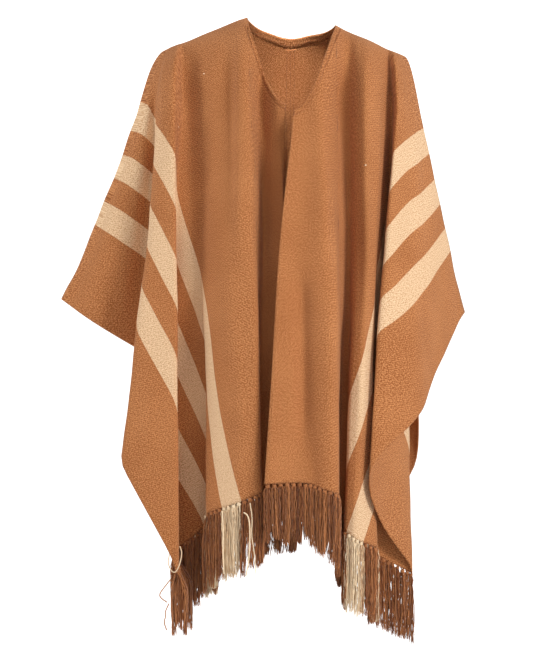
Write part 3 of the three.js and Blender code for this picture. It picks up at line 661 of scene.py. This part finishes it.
def neck_point(quarter, q, turn):
    """Middle-surface points round the neck: q is 0 at the centre and 1 at the shoulder line."""
    a = np.array([quarter.by_top(min(v, quarter.top[-1])) for v in q * (NECK_HALF + turn)])
    w = quarter.start(a, turn)
    w = np.where(q > 0.9999, SHOULDER_LEVEL, w)
    p = quarter.at(a, w)
    return p[:, :3], p[:, 3]


def neck_run(quarter, q, turn):
    """Neck points with the same small wear as the panel, and their outward normals."""
    p, u = neck_point(quarter, q, turn)
    after, before = np.clip(q + 0.004, 0, 1), np.clip(q - 0.004, 0, 1)
    ahead, behind = neck_point(quarter, after, turn)[0], neck_point(quarter, before, turn)[0]
    along = (ahead - behind) / (after - before)[:, None]
    down = neck_point(quarter, q, turn + 1.5)[0] - neck_point(quarter, q, turn - 1.5)[0]
    n = np.cross(along, down)
    n /= np.linalg.norm(n, axis=1, keepdims=True)
    up = np.array((0, 1 if quarter.is_back else -1, 0.6))
    n *= np.sign(n @ up)[:, None]
    return settle(p, n, u, quarter.is_back, quarter.side), n


def below_edge(runs, depth):
    """Points at a depth below the neck edge, on a curve through the three runs."""
    t = depth / NECK_TURN
    share = ((2 * t - 1) * (t - 1), 4 * t * (1 - t), t * (2 * t - 1))
    return sum(k * points for k, (points, _) in zip(share, runs))


hem_points = []
hem_runs = []
loop = [("front_right", 1), ("back_right", -1), ("back_left", 1), ("front_left", -1)]
for name, way in loop:
    quarter = quarters[name]
    if quarter.is_back:
        q = np.linspace(0, 1, BACK_STATIONS)
    else:
        q = np.sin(np.linspace(0, 1, FRONT_STATIONS) * np.pi / 2)
    q = q[::way]
    if name != "front_right":
        q = q[1:]
    runs = [neck_run(quarter, q, depth) for depth in HEM_DEPTHS]
    middle, n = runs[1]
    s = np.linspace(0, 40, len(q))
    lump = 0.055 * np.sin(s * 1.7 + way) + 0.04 * np.sin(s * 3.9 + 2)
    section = []
    for depth, out in HEM_SECTION:
        p = below_edge(runs, depth)
        if depth > 7:
            p = p + (p - middle) * lump[:, None] * 2
        section.append(p + n * out)
    hem_points.append(np.stack(section, 1))
    hem_runs.append(runs)
hem_points = np.concatenate(hem_points)
stations, sides = hem_points.shape[:2]
ids = np.arange(stations * sides).reshape(stations, sides)
faces = []
for i in range(stations - 1):
    for k in range(sides):
        m = (k + 1) % sides
        faces.append([ids[i, k], ids[i, m], ids[i + 1, m], ids[i + 1, k]])
faces.append(list(ids[0, ::-1]))
faces.append(list(ids[-1]))


def solid_mesh(name, points, faces, place, material):
    """A closed mesh from points in millimetres, its faces turned outward."""
    mesh = bpy.data.meshes.new(name)
    corners = (np.asarray(points).reshape(-1, 3) / 1000).tolist()
    mesh.from_pydata(corners, [], [[int(v) for v in face] for face in faces])
    write_places(mesh, place.reshape(-1, 2))
    work = bmesh.new()
    work.from_mesh(mesh)
    bmesh.ops.recalc_face_normals(work, faces=work.faces)
    work.to_mesh(mesh)
    work.free()
    return shown(name, mesh, material)


run_length = np.concatenate([[0], np.cumsum(np.linalg.norm(np.diff(hem_points[:, 0], axis=0), axis=1))])
hem_place = np.stack([
    np.broadcast_to(run_length[:, None], (stations, sides)),
    np.broadcast_to(np.array([depth for depth, _ in HEM_SECTION])[None, :], (stations, sides)),
], -1)
neck_hem = solid_mesh("neck_hem_cloth", hem_points, faces, hem_place, plain_twill)
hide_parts("neck_hem")
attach(neck_hem, "root")


# ---------------------------------------------------------------- the stitching on the hem
# Wool sewing thread in short running stitches, one row through the hem that shows on both faces.
# It is laid by hand, so that the stitches' length and their line wander.

# A row of stitches: how far below the neck edge it runs and how far out of the cloth's middle.
HEM_ROWS = ((6.6, -2.7), (7.6, 1.35))
dark_thread, _, _ = surface("dark sewing thread", Base_Color=(0.24, 0.075, 0.022, 1), Roughness=0.8)


def growing_tree(name, inputs):
    """A geometry tree with these inputs; gives it, each input's identifier and its input node."""
    tree = bpy.data.node_groups.new(name, "GeometryNodeTree")
    sockets = {}
    for key, kind in [("Geometry", "Geometry")] + inputs:
        made = tree.interface.new_socket(key, in_out="INPUT", socket_type=f"NodeSocket{kind}")
        sockets[key] = made.identifier
    tree.interface.new_socket("Geometry", in_out="OUTPUT", socket_type="NodeSocketGeometry")
    return tree, sockets, tree.nodes.new("NodeGroupInput")


def finish_tree(tree, geometry, material):
    """Realizes the instances, smooths them and sets the material, as the last steps of a tree."""
    for kind in ("GeometryNodeRealizeInstances", "GeometryNodeSetShadeSmooth", "GeometryNodeSetMaterial"):
        step = tree.nodes.new(kind)
        tree.links.new(geometry, step.inputs[0])
        geometry = step.outputs[0]
    tree.links.new(material, step.inputs["Material"])
    tree.links.new(geometry, tree.nodes.new("NodeGroupOutput").inputs[0])


def stitch_tree():
    """Short rounded stitches along every edge path of a mesh."""
    tree, sockets, source = growing_tree("stitches", [
        ("Pitch", "Float"), ("Length", "Float"), ("Thickness", "Float"), ("Seed", "Int"),
        ("Thread", "Material")])
    new, link = tree.nodes.new, tree.links.new
    to_curve, even = new("GeometryNodeMeshToCurve"), new("GeometryNodeResampleCurve")
    even.mode = "LENGTH"
    link(source.outputs["Geometry"], to_curve.inputs["Mesh"])
    link(to_curve.outputs[0], even.inputs["Curve"])
    link(source.outputs["Pitch"], even.inputs["Length"])
    ball = new("GeometryNodeMeshUVSphere")
    ball.inputs["Segments"].default_value = 7
    ball.inputs["Rings"].default_value = 5
    ball.inputs["Radius"].default_value = 0.5
    size = new("ShaderNodeCombineXYZ")
    link(source.outputs["Length"], size.inputs[0])
    link(source.outputs["Thickness"], size.inputs[1])
    link(source.outputs["Thickness"], size.inputs[2])
    tangent, turn = new("GeometryNodeInputTangent"), new("FunctionNodeAlignRotationToVector")
    turn.axis = "X"
    link(tangent.outputs[0], turn.inputs["Vector"])
    place = new("GeometryNodeInstanceOnPoints")
    link(even.outputs[0], place.inputs["Points"])
    link(ball.outputs[0], place.inputs["Instance"])
    link(turn.outputs[0], place.inputs["Rotation"])
    vary, scale = new("FunctionNodeRandomValue"), new("ShaderNodeVectorMath")
    vary.data_type = "FLOAT"
    vary.inputs[2].default_value, vary.inputs[3].default_value = 0.7, 1.2
    link(source.outputs["Seed"], vary.inputs["Seed"])
    scale.operation = "SCALE"
    link(size.outputs[0], scale.inputs[0])
    link(vary.outputs[1], scale.inputs["Scale"])
    link(scale.outputs[0], place.inputs["Scale"])
    finish_tree(tree, place.outputs[0], source.outputs["Thread"])
    return tree, sockets


def paths_mesh(name, paths, attributes=()):
    """Loose edge paths in millimetres as a mesh, with per-point attributes."""
    points = np.concatenate(paths)
    edges, base = [], 0
    for path in paths:
        edges += [(base + k, base + k + 1) for k in range(len(path) - 1)]
        base += len(path)
    mesh = bpy.data.meshes.new(name)
    mesh.from_pydata((points / 1000).tolist(), edges, [])
    for key, values in attributes:
        mesh.attributes.new(key, "FLOAT", "POINT").data.foreach_set("value", np.asarray(values, np.float32))
    return mesh


def grown(name, mesh, tree, sockets, **values):
    """Runs a geometry tree on a mesh and keeps its result as a plain mesh object."""
    paths = shown(name + " paths", mesh)
    modifier = paths.modifiers.new("grow", "NODES")
    modifier.node_group = tree
    for key, value in values.items():
        modifier[sockets[key]] = value
    ready = paths.evaluated_get(bpy.context.evaluated_depsgraph_get())
    result = bpy.data.meshes.new_from_object(ready)
    paths.modifiers.clear()
    bpy.data.objects.remove(paths)
    return shown(name, result)


STITCHES, STITCH_SOCKETS = stitch_tree()
neck_lines = []
for depth, out in HEM_ROWS:
    line = np.concatenate([below_edge(runs, depth) + runs[1][1] * out for runs in hem_runs])
    s = np.arange(len(line))
    line[:, 2] += 0.3 * np.sin(s * 0.9) + 0.2 * np.sin(s * 2.3)
    neck_lines.append(line)
neck_stitches = grown("neck_stitches", paths_mesh("neck stitches", neck_lines), STITCHES, STITCH_SOCKETS,
                      Pitch=0.0048, Length=0.0032, Thickness=0.001, Seed=4, Thread=dark_thread)
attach(neck_stitches, "root")


# ---------------------------------------------------------------- the centre back seam
# Inside, the two centre edges are pressed open into narrow strips and caught down, one row each side,
# with the joining row between them. It is the panels' own twill, sewn with the same dark thread.
ALLOWANCE = (0.0, 1.6, 4.0, 6.5, 8.8, 9.0)
SEAM_PLACE_LENGTH = 900
SEAM_FOOT = 0.015
back_right, back_left = quarters["back_right"], quarters["back_left"]
down_seam = np.linspace(0, 1, 150)
columns, column_u = [], []
for quarter, offsets in ((back_right, ALLOWANCE[:0:-1]), (back_left, ALLOWANCE)):
    for off in offsets:
        grid = np.linspace(0, 1.2, 1201)
        a = float(np.interp(off, abs(quarter.at(grid, np.full(len(grid), 1.0))[:, 0] - SEAM_X), grid))
        start = quarter.start(np.array([a]), NECK_TURN + 1)[0]
        end = quarter.end(np.array([a]))[0]
        w = start + (end - SEAM_FOOT - start) * down_seam
        p = quarter.at(np.full(len(w), a), w)
        side_way = -1 if quarter is back_right else 1
        step = 0.05
        n = np.cross(quarter.at(np.full(len(w), a + step), w)[:, :3] - p[:, :3],
                     quarter.at(np.full(len(w), a), w + step)[:, :3] - p[:, :3])
        n /= np.linalg.norm(n, axis=1, keepdims=True)
        n *= np.sign(n[:, 1])[:, None]
        q = settle(p[:, :3], n, p[:, 3], True, quarter.side)
        is_free = off > 6
        curl = 0.35 * np.sin(down_seam * 61 + off) * is_free + (0.5 if off == ALLOWANCE[-1] else 0)
        q[:, 0] += (0.5 * np.sin(down_seam * 37) + 0.3 * np.sin(down_seam * 83)) * is_free
        columns.append(q - n * (WALL / 2 + 0.85 + curl)[:, None])
        column_u.append(off * side_way)
seam_points = np.stack(columns, 0)
seam_normals = np.zeros_like(seam_points)
seam_normals[..., 1] = 1
count = seam_points.shape[1]
seam_faces = []
for i in range(len(columns) - 1):
    for j in range(count - 1):
        a, b = i * count + j, (i + 1) * count + j
        seam_faces.append([a, a + 1, b + 1, b])
seam_place = np.stack([np.repeat(np.array(column_u)[:, None], count, 1),
                       np.repeat(down_seam[None, :] * SEAM_PLACE_LENGTH, len(columns), 0)], -1)
# The strips are thinner than the cloth, because they are pressed, and taper off at their upper end.
seam_outer = 0.55
seam_inner = np.tile(np.where(np.arange(count) == 0, 0.45, -0.6), len(columns))[:, None]
back_seam = shell("back_seam_cloth", seam_points.reshape(-1, 3), seam_normals.reshape(-1, 3), seam_faces,
                  seam_place.reshape(-1, 2), seam_outer, seam_inner, plain_twill)
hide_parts("back_seam")
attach(back_seam, "root")
rows = [seam_points[k] + (0, -0.75, 0) for k in (2, 5, len(columns) - 3)]
seam_stitches = grown("seam_stitches", paths_mesh("seam stitches", rows), STITCHES, STITCH_SOCKETS,
                      Pitch=0.0046, Length=0.0036, Thickness=0.0013, Seed=7, Thread=dark_thread)
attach(seam_stitches, "root")


# ---------------------------------------------------------------- the knotted fringe
# The warp ends are left long, gathered some three dozen at a time and knotted close under the last
# weft. Cream warps make cream tassels. The loose yarns below the knots are wavy and end unevenly.
TASSELS = 60
YARNS_IN_TASSEL = 35
YARN_RADIUS = 0.0006
YARN_STATIONS = np.array([0, 0.04, 0.09, 0.17, 0.27, 0.38, 0.5, 0.63, 0.76, 0.88, 1])
ENDS_ABOVE_KNOT = 6
KNOT_TURNS = 2.9
KNOT_POINTS = 20
# Lengths below the knots, in millimetres, at places across the cloth from the centre edge.
FRINGE_LENGTHS = {
    "right": ([0, 70, 110, 160, 250, 300, 420, 560, 700], [84, 86, 104, 114, 118, 122, 127, 125, 116]),
    "left": ([0, 70, 110, 160, 300, 420, 560, 700], [97, 100, 114, 124, 128, 129, 126, 124]),
}
TONES = {
    "brown": ((0.17, 0.045, 0.012, 1), (0.6, 0.24, 0.085, 1)),
    "cream": ((0.8, 0.55, 0.32, 1), (1.0, 0.84, 0.6, 1)),
}


def yarn_material():
    """Twisted wool, brown or cream by each yarn's own cream value and deeper or paler by its tone."""
    wool, tree, look = surface("fringe yarn", Roughness=0.85, Specular_IOR_Level=0.2, Sheen_Weight=0.15,
                               Sheen_Roughness=0.5)
    tone = node(tree, "ShaderNodeAttribute", attribute_name="tone")
    cream = node(tree, "ShaderNodeAttribute", attribute_name="cream")
    brown = blend_colour(tree, tone.outputs["Fac"], *TONES["brown"])
    pale = blend_colour(tree, tone.outputs["Fac"], *TONES["cream"])
    tree.links.new(blend_colour(tree, cream.outputs["Fac"], brown, pale), look["Base Color"])
    return wool


def yarn_tree():
    """Yarns along every edge path: Radius times the path's own "thick" values."""
    tree, sockets, source = growing_tree("yarns", [
        ("Sides", "Int"), ("Radius", "Float"), ("Yarn", "Material")])
    new, link = tree.nodes.new, tree.links.new
    to_curve, own = new("GeometryNodeMeshToCurve"), new("GeometryNodeInputNamedAttribute")
    own.data_type = "FLOAT"
    own.inputs["Name"].default_value = "thick"
    link(source.outputs["Geometry"], to_curve.inputs["Mesh"])
    ring, skin = new("GeometryNodeCurvePrimitiveCircle"), new("GeometryNodeCurveToMesh")
    link(source.outputs["Sides"], ring.inputs["Resolution"])
    link(source.outputs["Radius"], ring.inputs["Radius"])
    link(to_curve.outputs[0], skin.inputs["Curve"])
    link(ring.outputs[0], skin.inputs["Profile Curve"])
    link(own.outputs[0], skin.inputs["Scale"])
    skin.inputs["Fill Caps"].default_value = True
    finish_tree(tree, skin.outputs[0], source.outputs["Yarn"])
    return tree, sockets


YARNS, YARN_SOCKETS = yarn_tree()
fringe_yarn = yarn_material()


def hem_track(sheet, quarter):
    """The hem as place in the cloth, points and outward flat normals, from the centre to the corner."""
    ids, at = (sheet.back_ids, sheet.back_at) if quarter.is_back else (sheet.front_ids, sheet.front_at)
    line = ids[at <= quarter.corner + 1e-9, -1]
    flat = sheet.normals[line] * (1, 1, 0)
    flat /= np.linalg.norm(flat, axis=1, keepdims=True)
    return sheet.place[line, 0], sheet.points[line], flat


def on_track(track, place):
    """The point of the hem at a place in the cloth, and its outward direction."""
    u, p, n = track
    point = np.array([np.interp(place, u, p[:, c]) for c in range(3)])
    flat = np.array([np.interp(place, u, n[:, c]) for c in range(3)])
    return point, flat / np.linalg.norm(flat)


# Past BUNDLE_FROM in the cloth the right corner's tassels hang as one thick bundle. Its x goes from
# BUNDLE_LEFT over BUNDLE_WIDTH, and each tassel lies a golden share of that further on.
BUNDLE_FROM = 615
BUNDLE_LEFT, BUNDLE_WIDTH, BUNDLE_DEPTH = -206, 36, 8
BUNDLE_TURN = 0.618 / 11.67
# In front, the tassels of the middle stripe swing to the left and those before it away from them.
PARTING = (392, 419, 480)
STRIPE_SWING = (9.0, 6.0, 0)
PARTING_SWING = -7.0


def gather(quarter, place, point):
    """How far a tassel swings aside."""
    if quarter.side == "left":
        return np.zeros(3)
    if place > BUNDLE_FROM:
        spread = (place * BUNDLE_TURN) % 1
        return np.array((BUNDLE_LEFT + BUNDLE_WIDTH * spread - point[0], (spread - 0.5) * BUNDLE_DEPTH, 0))
    if quarter.is_back:
        return np.zeros(3)
    start, middle, end = PARTING
    if middle < place < end:
        return np.array(STRIPE_SWING)
    if start < place < middle:
        return np.array((PARTING_SWING * (place - start) / (middle - start), 0, 0))
    return np.zeros(3)


def tassels(quarter, track, seed):
    """Yarn paths of a quarter's fringe with their tone, colour and thickness."""
    rng = np.random.default_rng(seed)
    paths, tone, cream, thick = [], [], [], []

    def lay(path, colour, is_cream, width):
        """Adds one yarn."""
        paths.append(path)
        tone.extend([colour] * len(path))
        cream.extend([is_cream] * len(path))
        thick.extend(np.broadcast_to(width, len(path)))

    pitch = LOOM_WIDTH / TASSELS
    for n in range(TASSELS):
        middle = (n + 0.5) * pitch
        point, out = on_track(track, middle)
        left, right = on_track(track, middle - pitch / 2)[0], on_track(track, middle + pitch / 2)[0]
        across = (right - left) * (1, 1, 0)
        room = np.linalg.norm(across)
        across /= max(room, 1e-6)
        room = min(room, pitch)
        knot = point + (0, 0, -4.0 + rng.normal() * 0.4) + out * rng.normal() * 0.5
        length = np.interp(middle, *FRINGE_LENGTHS[quarter.side]) + rng.normal() * 3.5
        lean = across * rng.normal() * 2.2 + out * rng.normal() * 1.6
        swing = gather(quarter, middle, point)
        body = rng.uniform(0.25, 0.6)
        near = [middle + rng.uniform(-0.5, 0.5) * pitch for _ in range(YARNS_IN_TASSEL)]
        pale = [float(any(a < place < b for a, b in STRIPES)) for place in near]
        for k in range(ENDS_ABOVE_KNOT):
            share = rng.uniform(-0.5, 0.5)
            root = on_track(track, middle + share * pitch)[0] + out * rng.uniform(-0.7, 0.7) + (0, 0, 1.5)
            bend = root * 0.35 + knot * 0.65 + across * share * 3.0 + (0, 0, 1.0)
            into_knot = knot + across * share * 2 + out * rng.normal() * 0.6
            end_yarn = np.array([root, root + (0, 0, -1.0), bend, into_knot])
            lay(end_yarn, body + rng.normal() * 0.12, pale[k], 1.2)
        turns = np.linspace(0, KNOT_TURNS * 2 * np.pi, KNOT_POINTS) + rng.uniform(0, 6)
        rise = np.linspace(2.3, -2.3, KNOT_POINTS) + 0.9 * np.sin(turns + rng.uniform(0, 1.5))
        girth = np.sqrt(np.clip(1 - (rise / 4.2) ** 2, 0.2, 1))
        wrap = (knot + across * (np.cos(turns) * girth * rng.uniform(3.1, 3.7))[:, None]
                + out * (np.sin(turns) * girth * 2.9)[:, None] + np.array((0, 0, 1)) * rise[:, None])
        lay(wrap, body + 0.18, round(np.mean(pale)), 2.2)
        t = YARN_STATIONS
        for k in range(YARNS_IN_TASSEL):
            own = length * (1 - abs(rng.normal()) * 0.06 - (0.2 if rng.random() < 0.07 else 0))
            angle, far = rng.uniform(0, 6.28), np.sqrt(rng.uniform(0.02, 1))
            opened = np.sin(np.clip(t / 0.07, 0, 1) * np.pi / 2)
            flare = 0.3 + 0.7 * opened - 0.12 * np.clip((t - 0.7) / 0.3, 0, 1)
            side = np.cos(angle) * far * (room * 0.68) * flare
            front = np.sin(angle) * far * 4.6 * flare
            loose = 3.2 if rng.random() < 0.08 else 1.0
            wave = np.sin(t * rng.uniform(18, 44) + rng.uniform(0, 6)) * 0.85 * opened
            drift = np.sin(t * rng.uniform(2, 6) + rng.uniform(0, 6)) * 1.6 * loose * t
            wave_out = np.sin(t * rng.uniform(16, 40) + rng.uniform(0, 6)) * 0.8 * opened
            swung = np.sin(np.clip(t / 0.4, 0, 1) * np.pi / 2)
            path = knot + lean * (t**1.5)[:, None] + swing * swung[:, None]
            path += across * (side + wave + drift)[:, None] + out * (front + wave_out)[:, None]
            path[:, 2] -= t * own
            width = 1.02 * (1 - 0.4 * np.clip((t - 0.85) / 0.15, 0, 1))
            lay(path, body + rng.normal() * 0.26, pale[k], width)
    return paths, (("tone", np.clip(tone, 0, 1)), ("cream", cream), ("thick", thick))


fringes = {}
for n, (name, quarter) in enumerate(quarters.items()):
    sheet = sheets[quarter.side]
    paths, attributes = tassels(quarter, hem_track(sheet, quarter), 40 + n)
    piece = grown(f"{name}_yarns", paths_mesh(name, paths, attributes), YARNS, YARN_SOCKETS,
                  Sides=3, Radius=YARN_RADIUS, Yarn=fringe_yarn)
    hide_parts(f"fringe_{name}")
    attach(piece, "root")
    fringes[name] = piece


# ---------------------------------------------------------------- loose threads and lint
# Ends that slipped out of their knots, a loop of selvedge cord at one corner and specks of fluff.
# Each is a single wool yarn that lies over the tassels or the cloth.
# A thread to a row: how pale it is, its thickness, how far forward it lies, then its x and z places.
LOOSE = [
    (0.7, 1.7, -153, [(-188, -911), (-184, -923), (-189, -945), (-196, -957), (-203, -954), (-209, -940),
                      (-206, -925)]),
    (0.1, 1.8, -150, [(-204, -968), (-215, -982), (-224, -994), (-221, -1001), (-210, -1008)]),
    (0.1, 1.8, -150, [(-207, -1010), (-214, -1025), (-212, -1031), (-216, -1042), (-211, -1056)]),
    (1.0, 1.9, -183, [(-78, -850), (-72, -853), (-68, -864), (-67, -890), (-69, -932), (-74, -958)]),
    (1.0, 1.4, -183, [(-67, -834), (-63, -860), (-65, -889), (-60, -915), (-57, -955)]),
    (1.0, 1.8, -159, [(-115, -850), (-113, -889), (-114, -923), (-112, -958)]),
]
# A speck of lint to a row: the panel it lies on and its x and z place.
LINT = [("right", -153, -84), ("right", -190, -178), ("left", 134, -253)]
LINT_SHAPE = [(-1.1, 0.3, -0.3), (-0.3, 0, 0.3), (0.4, 0, 0.1), (1.1, 0.3, 0.5)]
LINT_THICKNESS = 1.6


def soften(path):
    """Rounds the corners of a short path."""
    for _ in range(3):
        cut = np.stack([path[:-1] * 0.75 + path[1:] * 0.25, path[:-1] * 0.25 + path[1:] * 0.75], 1)
        path = np.concatenate([path[:1], cut.reshape(-1, 3), path[-1:]])
    return path


def speck(side, x, z):
    """A short fibre lying on the front of a panel."""
    front = sheets[side].points[sheets[side].place[:, 1] > 0]
    near = front[(abs(front[:, 0] - x) < 5) & (abs(front[:, 2] - z) < 5)]
    place = near[np.argmin(near[:, 1])] + (0, -WALL / 2 - 0.5, 0)
    return place + np.array(LINT_SHAPE)


threads, paleness, widths = [], [], []
for pale, width, forward, line in LOOSE:
    threads.append(soften(np.array([(x, forward, z) for x, z in line], float)))
    paleness.append(pale)
    widths.append(width)
for row in LINT:
    threads.append(speck(*row))
    paleness.append(1.0)
    widths.append(LINT_THICKNESS)
counts = [len(path) for path in threads]
attributes = (("tone", np.full(sum(counts), 0.6)), ("cream", np.repeat(paleness, counts)),
              ("thick", np.repeat(widths, counts)))
loose_threads = grown("loose_threads", paths_mesh("loose threads", threads, attributes), YARNS, YARN_SOCKETS,
                      Sides=5, Radius=YARN_RADIUS, Yarn=fringe_yarn)
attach(loose_threads, "root")


# ---------------------------------------------------------------- the pieces that go with each panel
# Each panel is one straight loom length, 70 by 166 cm, with only the neck cut away.
for side in ("right", "left"):
    own = [fringes[f"front_{side}"], fringes[f"back_{side}"]]
    if side == "right":
        own += [neck_hem, neck_stitches, back_seam, seam_stitches, loose_threads]


# ---------------------------------------------------------------- the room, the lights and the camera
# A white paper sweep well below the fringe and up behind, a soft key light from the front right, a
# weaker one from above, a fill from the left and light on the paper.
PAPER_WIDTH = 12.0
SWEEP = [(-6.5, -1.75), (5.0, -1.75), (5.6, -1.7), (6.1, -1.5), (6.4, -1.1), (6.5, -0.6), (6.5, 3.5)]
paper, _, _ = surface("white paper", Base_Color=(0.95, 0.95, 0.95, 1), Roughness=0.9)
points = [(x, y, z) for y, z in SWEEP for x in (-PAPER_WIDTH / 2, PAPER_WIDTH / 2)]
strips = [[2 * k, 2 * k + 1, 2 * k + 3, 2 * k + 2] for k in range(len(SWEEP) - 1)]
floor_mesh = bpy.data.meshes.new("paper sweep")
floor_mesh.from_pydata(points, [], strips)
floor = shown("paper sweep", floor_mesh, paper)

scene = bpy.context.scene
world = bpy.data.worlds.new("studio")
world.use_nodes = True
around = world.node_tree.nodes["Background"].inputs
around["Color"].default_value = (1, 1, 1, 1)
around["Strength"].default_value = 0.46
scene.world = world


def area_light(name, place, aim, size, watts, spread=180):
    """A soft light at a place, turned towards its aim."""
    data = bpy.data.lights.new(name, "AREA")
    data.shape, data.size, data.size_y, data.energy = "RECTANGLE", size[0], size[1], watts
    data.spread = math.radians(spread)
    lamp = bpy.data.objects.new(name, data)
    lamp.location = place
    lamp.rotation_euler = (Vector(aim) - Vector(place)).to_track_quat("-Z", "Y").to_euler()
    scene.collection.objects.link(lamp)


CHEST = (0, 0, -0.45)
SOFT_BOX = (0.8, 0.8)
area_light("key", (1.81, -1.81, 0.0), CHEST, SOFT_BOX, 43)
area_light("top light", (0, -1.1, 1.91), CHEST, SOFT_BOX, 12)
area_light("left fill", (-2.55, -0.55, -0.22), CHEST, SOFT_BOX, 27)
area_light("paper light", (0, 4.0, 2.3), (0, 6.5, -0.9), (5.0, 1.2), 170)
# A small spot from above reaches the inside of the back neck and leaves the front alone.
area_light("neck light", (0.006, -0.35, 0.35), (0.006, 0.06, -0.005), (0.05, 0.05), 0.12, 24)

CAMERA_PLACE = (-0.039, -3.3, -0.544)
FOCAL_LENGTH, SENSOR_WIDTH = 98.84, 36.0
lens = bpy.data.cameras.new("camera")
lens.lens, lens.sensor_width = FOCAL_LENGTH, SENSOR_WIDTH
camera = bpy.data.objects.new("camera", lens)
camera.location = CAMERA_PLACE
camera.rotation_euler = (math.radians(90), 0, 0)
scene.collection.objects.link(camera)
scene.camera = camera
scene.view_settings.view_transform = "Standard"
